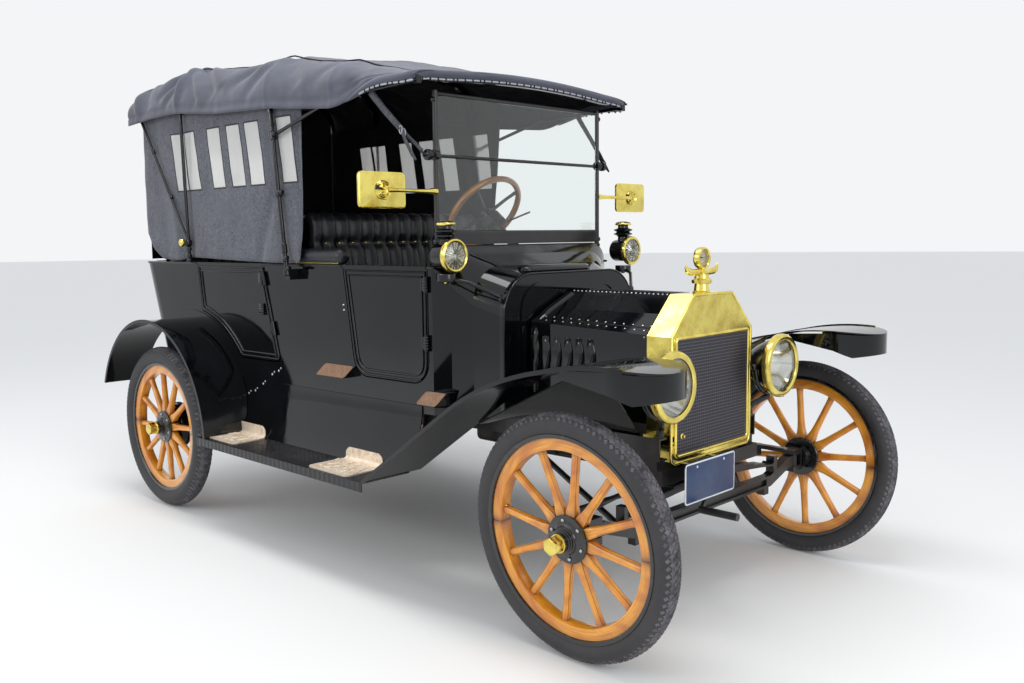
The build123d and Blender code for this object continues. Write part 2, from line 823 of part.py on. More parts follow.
finish(radiator_core.part, "radiator_core")
cap_x = radiator_x - radiator_depth / 2
cap_z = radiator_top + neck_height - 2 + seat_gap
with BuildPart() as radiator_cap:
    with Locations((cap_x, 0, cap_z + 15)):
        Cylinder(neck_radius + 12, 30)
    add(rod((cap_x, -cap_wing + 14, cap_z + 38), (cap_x, cap_wing - 14, cap_z + 38), 10))
    for side in (-1, 1):
        with Locations((cap_x, side * (cap_wing - 14), cap_z + 38)):
            Sphere(14)
    with Locations((cap_x, 0, cap_z + 34)):
        Cylinder(20, 24)
    with Locations((cap_x, 0, cap_z + 34 + gauge_radius + 8)):
        Cylinder(gauge_radius, 22, rotation=(0, 90, 0))
finish(radiator_cap.part, "radiator_cap")

# Firewall board with its rim, the hood ledge, and the hood's hinge rod
with BuildPart() as firewall:
    with BuildSketch(across(cowl_x)):
        add(arch(firewall_half_width, frame_top, firewall_top, firewall_corner))
    extrude(amount=firewall_thickness)
    ledge_top, ledge_corner = hood_hinge_z + 34, firewall_corner - 40
    inner_half, inner_top = ledge_half_width - ledge_width, ledge_top - ledge_width
    with BuildSketch(across(firewall_x)):
        add(arch(ledge_half_width, frame_top, ledge_top, ledge_corner))
        add(arch(inner_half, frame_top, inner_top, ledge_corner - ledge_width), mode=Mode.SUBTRACT)
    extrude(amount=ledge_depth)
    add(rod((firewall_x, 0, hood_hinge_z), (hood_front_x - seat_gap, 0, hood_hinge_z), hinge_rod_radius))
    hole_top = along_column(400)
    hole_foot = along_column(1000)
    add(rod(hole_top, hole_foot, column_radius + running_clearance / 2), mode=Mode.SUBTRACT)
finish(firewall.part, "firewall")


# Hood: two louvred halves on the centre hinge
def hood_section(side, half, crease):
    """One half's bent sheet: sloping top in two leaves, then the side."""
    inner = hinge_rod_radius + 2 * seat_gap
    points = [
        (inner, hood_hinge_z),
        (hood_leaf, hood_hinge_z - hood_leaf_drop),
        (half, crease),
        (half, hood_bottom),
    ]
    thinner = [
        (half - hood_sheet, hood_bottom),
        (half - hood_sheet, crease - hood_sheet / 2),
        (hood_leaf - 1, hood_hinge_z - hood_leaf_drop - hood_sheet),
        (inner, hood_hinge_z - hood_sheet),
    ]
    with BuildSketch() as outline:
        with BuildLine():
            Polyline(*[(side * y, z) for y, z in points + thinner], close=True)
        make_face()
    return outline.sketch


hood_nose = hood_front_x - running_clearance
hood_heel = firewall_x + ledge_depth + running_clearance
for name, side in sides:
    with BuildPart() as hood:
        with BuildSketch(across(hood_heel)):
            add(hood_section(side, hood_half_rear, hood_crease_rear))
        with BuildSketch(across(hood_nose)):
            add(hood_section(side, hood_half_front, hood_crease_front))
        loft(ruled=True)
        for index in range(louvre_count):
            x = hood_front_x - louvre_first - index * louvre_pitch
            share = (hood_nose - x) / (hood_nose - hood_heel)
            skin = hood_half_front + share * (hood_half_rear - hood_half_front)
            root_y, lip_y, lip_x = skin - hood_sheet / 2, skin + louvre_depth, x - louvre_width
            with BuildSketch(Plane.XY.offset(louvre_bottom)):
                with BuildLine():
                    Polyline(
                        (x, side * root_y), (lip_x, side * lip_y),
                        (lip_x, side * (lip_y - 3)), (lip_x + 6, side * root_y), close=True,
                    )
                make_face()
            extrude(amount=louvre_height)
    finish(hood.part, f"hood_{name}")

# Cowl: sheet that flares from the firewall to the body
cowl_stations = (
    # share of the length, half-width, top, corner radius
    (0, firewall_half_width - 14, firewall_top - 10, firewall_corner - 8),
    (0.5, 400, 1158, 140),
    (0.8, 448, 1200, 112),
    (1, body_front_half, cowl_top, cowl_corner),
)


def cowl_bay(nearer, further, inset):
    """Filled length of the cowl between two stations, inset from its skin."""
    with BuildPart() as bay:
        for share, half, top, corner in (nearer, further):
            with BuildSketch(across(cowl_x - share * cowl_length)):
                add(arch(half - inset, sill_z, top - inset, corner - inset * 0.7))
        loft(ruled=True)
    return bay.part


with BuildPart() as cowl:
    for inset, mode in ((0, Mode.ADD), (cowl_wall, Mode.SUBTRACT)):
        for nearer, further in zip(cowl_stations[:-1], cowl_stations[1:]):
            add(cowl_bay(nearer, further, inset), mode=mode)
finish(cowl.part, "cowl")

# Body floor with its sloping toe board
with BuildPart() as body_floor:
    with BuildSketch(Plane.XY.offset(frame_top)):
        add(body_plan(sill_z, 0))
        with BuildLine():
            Polyline(
                (screen_x, body_front_half), (cowl_x, firewall_half_width - 14),
                (cowl_x, -firewall_half_width + 14), (screen_x, -body_front_half), close=True,
            )
        make_face()
    extrude(amount=sill_z - frame_top)
    with BuildSketch(Plane.XZ.offset(-(firewall_half_width - 50))):
        with BuildLine():
            Polyline(
                (screen_x - 30, sill_z - 1), (cowl_x - 20, sill_z + 150), (cowl_x - 20, sill_z + 168),
                (screen_x - 50, sill_z - 1), close=True,
            )
        make_face()
    extrude(amount=2 * firewall_half_width - 100)
    # Three pedals and the brake lever stand on the floor
    for index in range(3):
        pedal_y = pedal_pitch * (index + 1)
        add(rod((screen_x + 60, pedal_y, sill_z + 60), (screen_x - 40, pedal_y, sill_z + 170), 7))
        with Locations(Location((screen_x - 44, pedal_y, sill_z + 172), (0, 45, 0))):
            Box(60, 44, 8)
    lever_y = body_front_half - 90
    add(rod((front_door_x - 60, lever_y, sill_z - 4), (front_door_x - 160, lever_y, sill_z + 420), 9))
finish(body_floor.part, "body_floor")


# Body sides: one leaning shell, cut into panels and doors
def front_door_outline(grow):
    """Front door: square top, slanting rear edge, round lower corners."""
    with BuildSketch() as outline:
        with BuildLine():
            Polyline(
                (front_door_x, rail_z + 60), (middle_x - 8, rail_z + 60),
                (middle_x + 64, front_door_bottom), (front_door_x, front_door_bottom), close=True,
            )
        make_face()
        fillet(outline.vertices().group_by(Axis.Y)[0], 85)
        if grow:
            offset(amount=grow, kind=Kind.INTERSECTION)
    return outline.sketch


def rear_door_outline(grow):
    """Rear door: slanting hinge edge, lower rear corner cut round the fender."""
    with BuildSketch() as outline:
        with BuildLine():
            Polyline(
                (rear_door_x - 16, rail_z + 60), (quarter_x, rail_z + 60), (quarter_x + 60, rear_door_bottom),
                (rear_door_x + rear_door_slant, rear_door_bottom), close=True,
            )
        make_face()
        fillet(outline.vertices().sort_by(Axis.X)[-1], 30)
        if grow:
            offset(amount=grow, kind=Kind.INTERSECTION)
        with Locations((rear_x, wheel_radius)):
            Circle(door_sweep - grow, mode=Mode.SUBTRACT)
    return outline.sketch


def body_block(low, high, inset):
    """Filled leaning body between two heights, inset from its outer face."""
    with BuildPart() as block:
        for z in (low, high):
            with BuildSketch(Plane.XY.offset(z)):
                add(body_plan(z, inset))
        loft(ruled=True)
    return block.part


with BuildPart() as shell:
    add(body_block(sill_z, rail_z, 0))
    with BuildSketch(Plane.XY.offset(rail_z)):
        add(body_plan(rail_z, -bead_overhang))
    extrude(amount=rail_bead)
    add(body_block(sill_z - 40, rail_z + 40, wall), mode=Mode.SUBTRACT)
    # The front is open to the cowl
    with Locations((screen_x, 0, (sill_z + rail_z) / 2)):
        Box(4 * wall, 2 * (body_front_half - wall), 2 * (rail_z - sill_z), mode=Mode.SUBTRACT)
    with Locations((screen_x + wall, 0, rail_z)):
        Box(2 * wall, 4 * body_front_half, 2 * rail_z, mode=Mode.SUBTRACT)

split_x = (rear_door_x + quarter_x) / 2
doorways = (
    # side, outline of the door
    (-1, front_door_outline),
    (-1, rear_door_outline),
    (1, rear_door_outline),
)
panels = (
    # name, front station, rear station
    ("body_front", screen_x + 1, split_x),
    ("body_rear", split_x, tail_x - 2 * wall),
)
for node, near_x, far_x in panels:
    with BuildPart() as panel:
        add(shell.part)
        with Locations(((near_x + far_x) / 2, 0, rail_z / 2)):
            Box(near_x - far_x, 4 * body_tail_half, 4 * rail_z, mode=Mode.INTERSECT)
        for side, outline in doorways:
            with BuildSketch(Plane.XZ):
                add(outline(running_clearance))
            extrude(amount=-side * 2 * body_tail_half, mode=Mode.SUBTRACT)
    finish(panel.part, node)

front_hinge_x = front_door_x + 2
hinge_heights = (rail_z - 56, rail_z - 272)
doors = (
    # name, side, outline, hinge foot and head stations
    ("door_front_right", -1, front_door_outline, front_hinge_x, front_hinge_x),
    ("door_rear_right", -1, rear_door_outline, rear_door_x + rear_door_slant + 2, rear_door_x - 2),
    ("door_rear_left", 1, rear_door_outline, rear_door_x + rear_door_slant + 2, rear_door_x - 2),
)
for node, side, outline, foot_x, head_x in doors:
    with BuildPart() as door:
        add(shell.part)
        with BuildSketch(Plane.XZ):
            add(outline(0))
        extrude(amount=-side * 2 * body_tail_half, mode=Mode.INTERSECT)
        for z in hinge_heights:
            x = foot_x + (head_x - foot_x) * (z - rear_door_bottom) / (rail_z - rear_door_bottom)
            skin = body_half(x)
            lean = (head_x - foot_x) / (rail_z - rear_door_bottom)
            half_lean = lean * hinge_height / 2
            barrel_y = side * (skin + hinge_radius + seat_gap)
            low_end = (x - half_lean, barrel_y, z - hinge_height / 2)
            high_end = (x + half_lean, barrel_y, z + hinge_height / 2)
            add(rod(low_end, high_end, hinge_radius))
            with Locations((x - 17, side * (skin + 3), z)):
                Box(30, 5.4, hinge_height - 14)
    finish(door.part, node)

# Seats: risers and the panel behind the front seat, then cushions and backrests
cabin_fit = body_block(sill_z, rear_back_top + 20, wall + 1)
front_seat_x = middle_x + front_seat_advance
rear_seat_x = quarter_x + rear_seat_advance
riser_half = body_half(front_seat_x) - wall - running_clearance
riser_top = seat_height - seat_gap
panel_x = front_seat_x - cushion_depth - backrest_thickness - 6
panel_top = front_back_top - 60
riser_length = cushion_depth - 30
riser_height = riser_top - sill_z
with BuildPart() as seat_frames:
    for seat_x in (front_seat_x, rear_seat_x):
        inner_length, inner_half = riser_length - 2 * riser_wall, riser_half - riser_wall
        with Locations((seat_x - cushion_depth / 2, 0, sill_z + riser_height / 2)):
            Box(riser_length, 2 * riser_half, riser_height)
            Box(inner_length, 2 * inner_half, riser_height - 2 * riser_wall, mode=Mode.SUBTRACT)
        with Locations((seat_x - cushion_depth / 2, 0, sill_z)):
            Box(inner_length, 2 * inner_half, 3 * riser_wall, mode=Mode.SUBTRACT)
    with Locations((panel_x - riser_wall / 2, 0, (sill_z + panel_top) / 2)):
        Box(riser_wall, 2 * riser_half, panel_top - sill_z)
    add(cabin_fit, mode=Mode.INTERSECT)
finish(seat_frames.part, "seat_frames")

# The cushions end at the feet of the backrests, which stand on the risers behind them
cushion_top = seat_height + cushion_height
cushion_length = cushion_depth - backrest_lean - seat_gap
with BuildPart() as seat_cushions:
    for seat_x, half in ((front_seat_x, riser_half), (rear_seat_x, body_half(rear_seat_x) - wall - 2)):
        with BuildSketch(Plane.XY.offset(seat_height)):
            with Locations((seat_x - cushion_length / 2, 0)):
                RectangleRounded(cushion_length, 2 * half, cushion_round)
        extrude(amount=cushion_height)
    add(cabin_fit, mode=Mode.INTERSECT)
finish(seat_cushions.part, "seat_cushions")

with BuildPart() as front_backrest:
    foot_x = front_seat_x - cushion_depth + backrest_lean
    back_x = panel_x + seat_gap
    with BuildSketch(Plane.XZ.offset(-riser_half)):
        with BuildLine():
            Polyline(
                (foot_x, seat_height), (foot_x, cushion_top), (foot_x - backrest_lean, front_back_top),
                (back_x, front_back_top), (back_x, seat_height), close=True,
            )
        make_face()
    extrude(amount=2 * riser_half)
    for name, side in sides:
        arm_start = middle_x - running_clearance
        arm_z0 = rail_z + rail_bead + seat_gap + arm_roll_radius
        add(rod((arm_start, side * (body_half(arm_start) - wall / 2), arm_z0),
                (panel_x + 40, side * (body_half(panel_x) - wall / 2), arm_z0), arm_roll_radius))
finish(front_backrest.part, "front_backrest")

with BuildPart() as rear_backrest:
    foot_x = rear_seat_x - cushion_depth + backrest_lean
    with BuildSketch(Plane.XZ.offset(-body_tail_half)):
        with BuildLine():
            Polyline(
                (foot_x, seat_height), (foot_x, cushion_top), (foot_x - backrest_lean, rear_back_top),
                (foot_x - backrest_lean - backrest_thickness, rear_back_top),
                (foot_x - backrest_thickness, seat_height), close=True,
            )
        make_face()
    extrude(amount=2 * body_tail_half)
    add(cabin_fit, mode=Mode.INTERSECT)
finish(rear_backrest.part, "rear_backrest")

# Windscreen: two posts, three rails, the board below, and the hinge bolts
frame_x = screen_x - screen_tube - seat_gap
post_y = screen_half_width - screen_tube
board_bottom = screen_bottom - screen_board_height
with BuildPart() as windscreen_frame:
    for name, side in sides:
        add(rod((frame_x, side * post_y, screen_foot), (frame_x, side * post_y, screen_top), screen_tube))
        bolt_end = (frame_x, side * (screen_half_width + 35), screen_fold)
        add(rod((frame_x, side * post_y, screen_fold), bolt_end, 12))
    rails = (
        # height, radius
        (screen_bottom, screen_rail),
        (screen_fold, fold_rail),
        (screen_top - screen_tube, screen_rail),
    )
    for z, radius in rails:
        add(rod((frame_x, -post_y, z), (frame_x, post_y, z), radius))
    with Locations((frame_x, 0, (board_bottom + screen_bottom) / 2)):
        Box(16, 2 * post_y, screen_bottom - board_bottom)
finish(windscreen_frame.part, "windscreen_frame")
with BuildPart() as windscreen_glass:
    pane_half = post_y - screen_tube - seat_gap
    for low, high in (
        (screen_bottom + screen_rail + seat_gap, screen_fold - fold_rail - seat_gap),
        (screen_fold + fold_rail + seat_gap, screen_top - screen_tube - screen_rail - seat_gap),
    ):
        with Locations((frame_x, 0, (low + high) / 2)):
            Box(glass_thickness, 2 * pane_half, high - low)
finish(windscreen_glass.part, "windscreen_glass")

# Top: fabric roof over bows and irons
roof_stations = [(screen_x - back, edge, shoulder, crown) for back, edge, shoulder, crown in roof_sections]


def roof_bay(nearer, further, inset, below):
    """Filled length of the top between two stations, inset from its outer face."""
    with BuildPart() as bay:
        for x, edge, shoulder, crown in (nearer, further):
            with BuildSketch(across(x)):
                add(roof_arch(edge, shoulder, crown, inset, below))
        loft(ruled=True)
    return bay.part


with BuildPart() as top_canopy:
    for inset, below, mode in ((0, 0, Mode.ADD), (canvas, 20, Mode.SUBTRACT)):
        for nearer, further in zip(roof_stations[:-1], roof_stations[1:]):
            add(roof_bay(nearer, further, inset, below), mode=mode)
finish(top_canopy.part, "top_canopy")

bow_inset = canvas + 2.5
middle_post_x = screen_x - 821
rear_post_x = screen_x - 1655
bow_x = [station[0] for station in roof_stations]
# The first bow stands behind the front edge, and the last before the top's rear corner
bow_shifts = {0: -bow_width / 2 - 2, 2: 0, 3: 0, 4: bow_width / 2 + 1}
with BuildPart() as top_frame:
    for index, shift in bow_shifts.items():
        x, edge, shoulder, crown = roof_stations[index]
        with BuildSketch(across(x + shift - bow_width / 2)):
            add(roof_arch(edge, shoulder, crown, bow_inset, 0))
            add(roof_arch(edge, shoulder, crown, bow_inset + bow_depth, 40), mode=Mode.SUBTRACT)
        extrude(amount=bow_width)
    for name, side in sides:
        post_foot = Vector(middle_post_x, side * iron_y, rail_z - 40)
        post_head = Vector(bow_x[2], side * iron_y, roof_stations[2][1] + 8)
        arm_root = post_foot + (post_head - post_foot) * arm_share
        arm_elbow = Vector(bow_x[1], side * iron_y, roof_stations[1][1] - elbow_drop)
        arm_tip = Vector(bow_x[0] - 12, side * iron_y, roof_stations[0][1] + 12)
        knuckle = Vector(rear_post_x, side * iron_y, rail_z + knuckle_rise)
        irons = (
            # foot, head, radius
            (post_foot, post_head, iron_radius),
            (arm_root, arm_elbow, iron_radius - 1.5),
            (arm_elbow, arm_tip, iron_radius - 2.5),
            ((rear_post_x, side * iron_y, rail_z + rail_bead + seat_gap), knuckle, iron_radius),
            (knuckle, (bow_x[3], side * iron_y, roof_stations[3][1] + 8), iron_radius - 1),
            (knuckle, (bow_x[4] + bow_shifts[4], side * iron_y, roof_stations[4][1] + 8), iron_radius - 2),
        )
        for foot, head, radius in irons:
            add(rod(foot, head, radius))
        with Locations(knuckle + Vector(0, side * (knuckle_radius - iron_radius), 0)):
            Sphere(knuckle_radius)
        bracket_y = body_half(middle_post_x - iron_radius * 2) + seat_gap
        with Locations((middle_post_x, side * (bracket_y + iron_y) / 2, rail_z - 32)):
            Box(34, iron_y - bracket_y, 44)
        strap_top = arm_elbow + (arm_tip - arm_elbow) * strap_share
        add(rod(strap_top, (frame_x - 4, side * (screen_half_width + 44), screen_fold + 4), 5))
finish(top_frame.part, "top_frame")

# Curtains: one sheet down each side and one across the back, with window holes
curtain_outer = iron_y - iron_radius - seat_gap
window_feet = (-795, -1045, -1200, -1370, -1595, -1715)
window_width = 105
window_bottom = 1500
window_top = 1765
window_slant = 45
curtain_outline = (
    # from the windscreen, height
    (-715, curtain_top),
    (-2095, curtain_top),
    (-2098, 1306),
    (-2040, 1215),
    (-1960, curtain_bottom),
    (-690, curtain_bottom),
)
with BuildPart() as curtains:
    for name, side in sides:
        with BuildSketch(Plane.XZ.offset(-side * curtain_outer)):
            with BuildLine():
                Polyline(*[(screen_x + back, z) for back, z in curtain_outline], close=True)
            make_face()
            for foot in window_feet:
                near, far = screen_x + foot + window_width / 2, screen_x + foot - window_width / 2
                with BuildLine():
                    Polyline(
                        (far, window_bottom), (near, window_bottom),
                        (near - window_slant, window_top), (far - window_slant, window_top), close=True,
                    )
                make_face(mode=Mode.SUBTRACT)
        extrude(amount=side * curtain_sheet)
    roof_rear, edge, shoulder, crown = roof_stations[-1]
    with BuildSketch(across(roof_rear - seat_gap - curtain_sheet)):
        with BuildLine():
            head_y = top_half_width - roof_shoulder_inset
            Polyline(
                (-iron_y + 20, curtain_bottom), (iron_y - 20, curtain_bottom), (iron_y - 10, edge),
                (head_y, shoulder - canvas), (-head_y, shoulder - canvas), (-iron_y + 10, edge), close=True,
            )
        make_face()
        with Locations((0, (window_bottom + window_top) / 2)):
            with GridLocations(260, 1, 2, 1):
                RectangleRounded(200, 170, 20, mode=Mode.SUBTRACT)
    extrude(amount=curtain_sheet)
finish(curtains.part, "curtains")


# Fenders
def strip(profile, shift):
    """Path of a fender's side view, as points and arc bends, shifted in height."""
    return [tuple((x, z + shift) for x, z in piece) for piece in profile]


def band(profile, rise, fall):
    """Closed outline between the path raised and the path lowered."""
    with BuildSketch() as outline:
        with BuildLine():
            for shift in (rise, -fall):
                for piece in strip(profile, shift):
                    if len(piece) == 2:
                        Line(*piece)
                    else:
                        ThreePointArc(*piece)
            for x, z in (profile[0][0], profile[-1][-1]):
                Line((x, z + rise), (x, z - fall))
        make_face()
    return outline.sketch


board_z = board_top + seat_gap
board_front_x = front_x - board_front_setback
board_rear_x = front_x - board_rear_setback
front_fender_path = (
    ((board_front_x, board_z + fender_sheet), (front_x - 476, 701)),
    ((front_x - 476, 701), (front_x - 240, 826), (front_x - 41, 882)),
    ((front_x - 41, 882), (front_x + 150, 909), (front_x + front_fender_tip, 897)),
)
bill_outline = (
    # from the front axle, height
    (30, 889),
    (30, 866),
    (208, 836),
    (272, 812),
    (front_fender_tip + 5, 822),
    (front_fender_tip + 5, 892),
    (200, 900),
)
tip_radius = (fender_outer - fender_front_inner) / 2
tip_x = front_x + front_fender_tip - tip_radius
tip_y = (fender_outer + fender_front_inner) / 2


def fender_plan(side, inset):
    """Plan of the front fender, round at its tip."""
    with BuildSketch() as plan:
        with BuildLine():
            low, high = side * (fender_front_inner + inset), side * (fender_outer - inset)
            tip = front_x + front_fender_tip - inset
            Line((board_front_x - 10, low), (tip_x, low))
            ThreePointArc((tip_x, low), (tip, side * tip_y), (tip_x, high))
            Line((tip_x, high), (board_front_x - 10, high))
            Line((board_front_x - 10, high), (board_front_x - 10, low))
        make_face()
    return plan.sketch


def fender_sheet_over(side):
    """Rolled sheet of a front fender, with the bead along its outer edge."""
    with BuildPart() as sheet:
        with BuildSketch(Plane.XZ.offset(-side * fender_front_inner)):
            add(band(front_fender_path, 0, fender_sheet))
        extrude(amount=-side * (fender_outer - fender_front_inner))
        with BuildSketch(Plane.XZ.offset(-side * (fender_outer - bead_width))):
            add(band(front_fender_path, bead_rise, bead_fall))
        extrude(amount=-side * bead_width)
        with BuildSketch(Plane.XY):
            add(fender_plan(side, 0))
        extrude(amount=top_half_width * 2, mode=Mode.INTERSECT)
    return sheet.part


def fender_bill(side):
    """Rounded skirt that droops from a front fender's tip."""
    with BuildPart() as bill:
        with BuildSketch(Plane.XY):
            add(fender_plan(side, 0))
            add(fender_plan(side, fender_sheet), mode=Mode.SUBTRACT)
        extrude(amount=top_half_width * 2)
        with BuildSketch(Plane.XZ):
            with BuildLine():
                Polyline(*[(front_x + lead, z) for lead, z in bill_outline], close=True)
            make_face()
        extrude(amount=-side * 2 * fender_outer, mode=Mode.INTERSECT)
    return bill.part


def fender_valance(side):
    """Inner panel between a front fender and the frame rail."""
    rail_y, fender_y = side * (frame_half_width - 8), side * (fender_front_inner + 2)
    with BuildPart() as valance:
        for x, height in ((front_x - 585, 621), (front_x - 62, 874)):
            with BuildSketch(across(x)):
                with BuildLine():
                    Polyline(
                        (rail_y, frame_top + seat_gap), (rail_y, frame_top + seat_gap + fender_sheet),
                        (fender_y, height), (fender_y, height - fender_sheet), close=True,
                    )
                make_face()
        loft(ruled=True)
    return valance.part


with BuildPart() as front_fenders:
    for name, side in sides:
        add(fender_sheet_over(side))
        add(fender_bill(side))
        add(fender_valance(side))
finish(front_fenders.part, "front_fenders")

flange_radius = door_sweep - 13
corner_x = tail_x + tail_lean + tail_radius


def beside(side, near, far, back):
    """Upright slab along the body's side, from the screen to a station, between two distances from it."""
    corners = [(x, side * (body_half(x) + gap)) for x, gap in (
        (screen_x, near), (back, near), (back, far), (screen_x, far),
    )]
    with BuildPart() as slab:
        with BuildSketch(Plane.XY):
            with BuildLine():
                Polyline(*corners, close=True)
            make_face()
        extrude(amount=rail_z)
    return slab.part


def wheel_ring(side, outer, inner, near, far):
    """Ring about the rear wheel, between two distances from the car's middle."""
    with BuildPart() as ring:
        with BuildSketch(Plane.XZ.offset(-side * near)):
            with Locations((rear_x, wheel_radius)):
                Circle(outer)
                Circle(inner, mode=Mode.SUBTRACT)
        extrude(amount=-side * (far - near))
    return ring.part


def rear_fender(side):
    """Rolled sheet over the rear wheel, from the body's side to the beaded outer edge."""
    radius, edge = rear_fender_radius, fender_outer - bead_width
    with BuildPart() as fender:
        add(wheel_ring(side, radius, radius - fender_sheet, body_front_half, fender_outer))
        add(wheel_ring(side, radius + bead_rise, radius - bead_fall, edge, fender_outer))
        add(beside(side, seat_gap, fender_outer, rear_x - 2 * flange_radius), mode=Mode.INTERSECT)
    return fender.part


def rear_flange(side):
    """Upright flange that joins the rear fender to the body's side above the sill."""
    with BuildPart() as flange:
        add(wheel_ring(side, flange_radius, rear_fender_radius - fender_sheet, body_front_half, fender_outer))
        with Locations((rear_x, 0, sill_z / 2)):
            Box(4 * flange_radius, 4 * fender_outer, sill_z, mode=Mode.SUBTRACT)
        with Locations((rear_x, 0, -flange_radius / 2)):
            Box(4 * flange_radius, 4 * fender_outer, flange_radius, mode=Mode.SUBTRACT)
        add(beside(side, seat_gap, seat_gap + apron_sheet, corner_x), mode=Mode.INTERSECT)
    return flange.part


with BuildPart() as rear_fenders:
    for name, side in sides:
        add(rear_fender(side))
        add(rear_flange(side))
    # Trim the rings to the fender's reach, front foot to rear tip
    for x, height in ((rear_x, board_z), (rear_x - 2 * flange_radius, rear_tip_z)):
        with Locations((x, 0, height - rail_z)):
            Box(4 * flange_radius, 4 * fender_outer, 2 * rail_z, mode=Mode.SUBTRACT)
finish(rear_fenders.part, "rear_fenders")

# Running boards: pressed plates with turned-down outer edges
board_length = board_front_x - board_rear_x
board_middle = (board_front_x + board_rear_x) / 2
board_y = (board_inner + fender_outer) / 2
with BuildPart() as running_boards:
    for name, side in sides:
        with Locations((board_middle, side * board_y, board_top - apron_sheet / 2)):
            Box(board_length, fender_outer - board_inner, apron_sheet)
        with Locations((board_middle, side * (fender_outer - apron_sheet / 2), board_top - board_edge / 2)):
            Box(board_length, apron_sheet, board_edge)
finish(running_boards.part, "running_boards")

# Splash aprons: hollow-curved panels from the sill down to the boards
apron_foot = board_inner + 30
apron_drop = sill_z - board_z


def splash_panel(side):
    """Hollow-curved panel, upright at the sill, along one board."""
    with BuildPart() as panel:
        for x in (board_front_x - 2, rear_x + rear_fender_radius - 90):
            top_y = body_half(x) + seat_gap
            spread = apron_foot - top_y
            radius = (spread ** 2 + apron_drop ** 2) / (2 * spread)
            middle_z = apron_drop * 0.53
            middle_y = radius - sqrt(radius ** 2 - middle_z ** 2)
            with BuildSketch(across(x)):
                with BuildLine():
                    for shift in (0, apron_sheet):
                        ThreePointArc(
                            (side * (top_y + shift), sill_z),
                            (side * (top_y + shift + middle_y), sill_z - middle_z),
                            (side * (apron_foot + shift), board_z),
                        )
                    Line((side * top_y, sill_z), (side * (top_y + apron_sheet), sill_z))
                    Line((side * apron_foot, board_z), (side * (apron_foot + apron_sheet), board_z))
                make_face()
        loft(ruled=True)
    return panel.part


with BuildPart() as splash_aprons:
    for name, side in sides:
        add(splash_panel(side))
    clear_radius = rear_fender_radius + bead_rise + seat_gap
    with Locations((rear_x, 0, wheel_radius)):
        Cylinder(clear_radius, 4 * fender_outer, rotation=(90, 0, 0), mode=Mode.SUBTRACT)
finish(splash_aprons.part, "splash_aprons")

# Headlamps: bowl, rim and forked post from the frame's nose
lamp_foot = (front_x + 7, frame_half_width - rail_flange / 2, frame_top + seat_gap)
with BuildPart() as headlamps:
    face_x = front_x + headlamp_lead
    fork_x = face_x - 60
    for name, side in sides:
        bowl = spun(
            Axis.X,
            (0, 0), (0, headlamp_radius - 8), (-8, headlamp_radius), (-26, headlamp_radius),
            (-32, headlamp_radius - 16), (-62, 90), (-100, 70),
            (-headlamp_depth + 24, 40), (-headlamp_depth, 0),
        )
        add(bowl.moved(Location((face_x, side * headlamp_y, headlamp_z))))
        with BuildSketch(across(fork_x - 9)):
            with Locations((side * headlamp_y, headlamp_z)):
                Circle(headlamp_radius + 4)
                Circle(headlamp_radius - 28, mode=Mode.SUBTRACT)
            with Locations((side * headlamp_y, headlamp_z + headlamp_radius)):
                Rectangle(3 * headlamp_radius, 2 * headlamp_radius, mode=Mode.SUBTRACT)
        extrude(amount=18)
        add(rod((lamp_foot[0], side * lamp_foot[1], lamp_foot[2] + 10),
                (fork_x, side * headlamp_y, headlamp_z - headlamp_radius + 8), 12))
        with Locations((lamp_foot[0], side * lamp_foot[1], lamp_foot[2] + 5)):
            Box(24, rail_flange, 10)
finish(headlamps.part, "headlamps")


def firewall_edge(z):
    """Half-width of the firewall at a height, round its shoulder."""
    rise = max(0, z - firewall_top + firewall_corner)
    return firewall_half_width - firewall_corner + sqrt(firewall_corner ** 2 - rise ** 2)


# Side lamps: lens drum, body, chimney and oil pot, on a rod from the firewall
with BuildPart() as side_lamps:
    lamp_x = front_x - side_lamp_setback
    for name, side in sides:
        centre = (lamp_x, side * side_lamp_y, side_lamp_z)
        drum = spun(
            Axis.X,
            (0, 0), (0, side_lamp_radius), (-14, side_lamp_radius), (-20, side_lamp_radius - 10),
            (-90, side_lamp_radius - 16), (-96, 0),
        )
        add(drum.moved(Location(centre)))
        chimney = spun(
            Axis.Y,
            (0, 30), (34, 30), (34, 62), (26, 70), (40, 78), (40, 86),
            (28, 92), (36, 100), (36, 108), (26, 122), (0, 124),
        )
        stack_x = lamp_x - 52
        add(chimney.moved(Location((stack_x, side * side_lamp_y, side_lamp_z), (90, 0, 0))))
        with Locations((stack_x, side * side_lamp_y, side_lamp_z - 62)):
            Cylinder(18, 40)
        with Locations((stack_x, side * side_lamp_y, side_lamp_z - 78)):
            Cylinder(34, 30)
        grip_y = firewall_edge(lamp_grip_z - lamp_grip_height / 2) + seat_gap + 6
        grip = (firewall_x - firewall_thickness / 2, side * grip_y, lamp_grip_z)
        add(rod((stack_x, side * side_lamp_y, side_lamp_z - 78), grip, 7))
        with Locations(grip):
            Box(20, 12, lamp_grip_height)
finish(side_lamps.part, "side_lamps")

# Mirrors: an arm from each windscreen post and a plain oblong plate
with BuildPart() as mirrors:
    for name, side in sides:
        root_y = side * (screen_half_width + seat_gap)
        add(rod((frame_x, root_y, mirror_z + 8), (frame_x, side * mirror_y, mirror_z), 9))
        with Locations((frame_x, side * mirror_y, mirror_z)):
            Cylinder(34, 26, rotation=(0, 90, 0))
        with BuildSketch(across(frame_x - 12)):
            with Locations((side * (mirror_y), mirror_z)):
                RectangleRounded(mirror_width, mirror_height, 18)
        extrude(amount=8)
finish(mirrors.part, "mirrors")

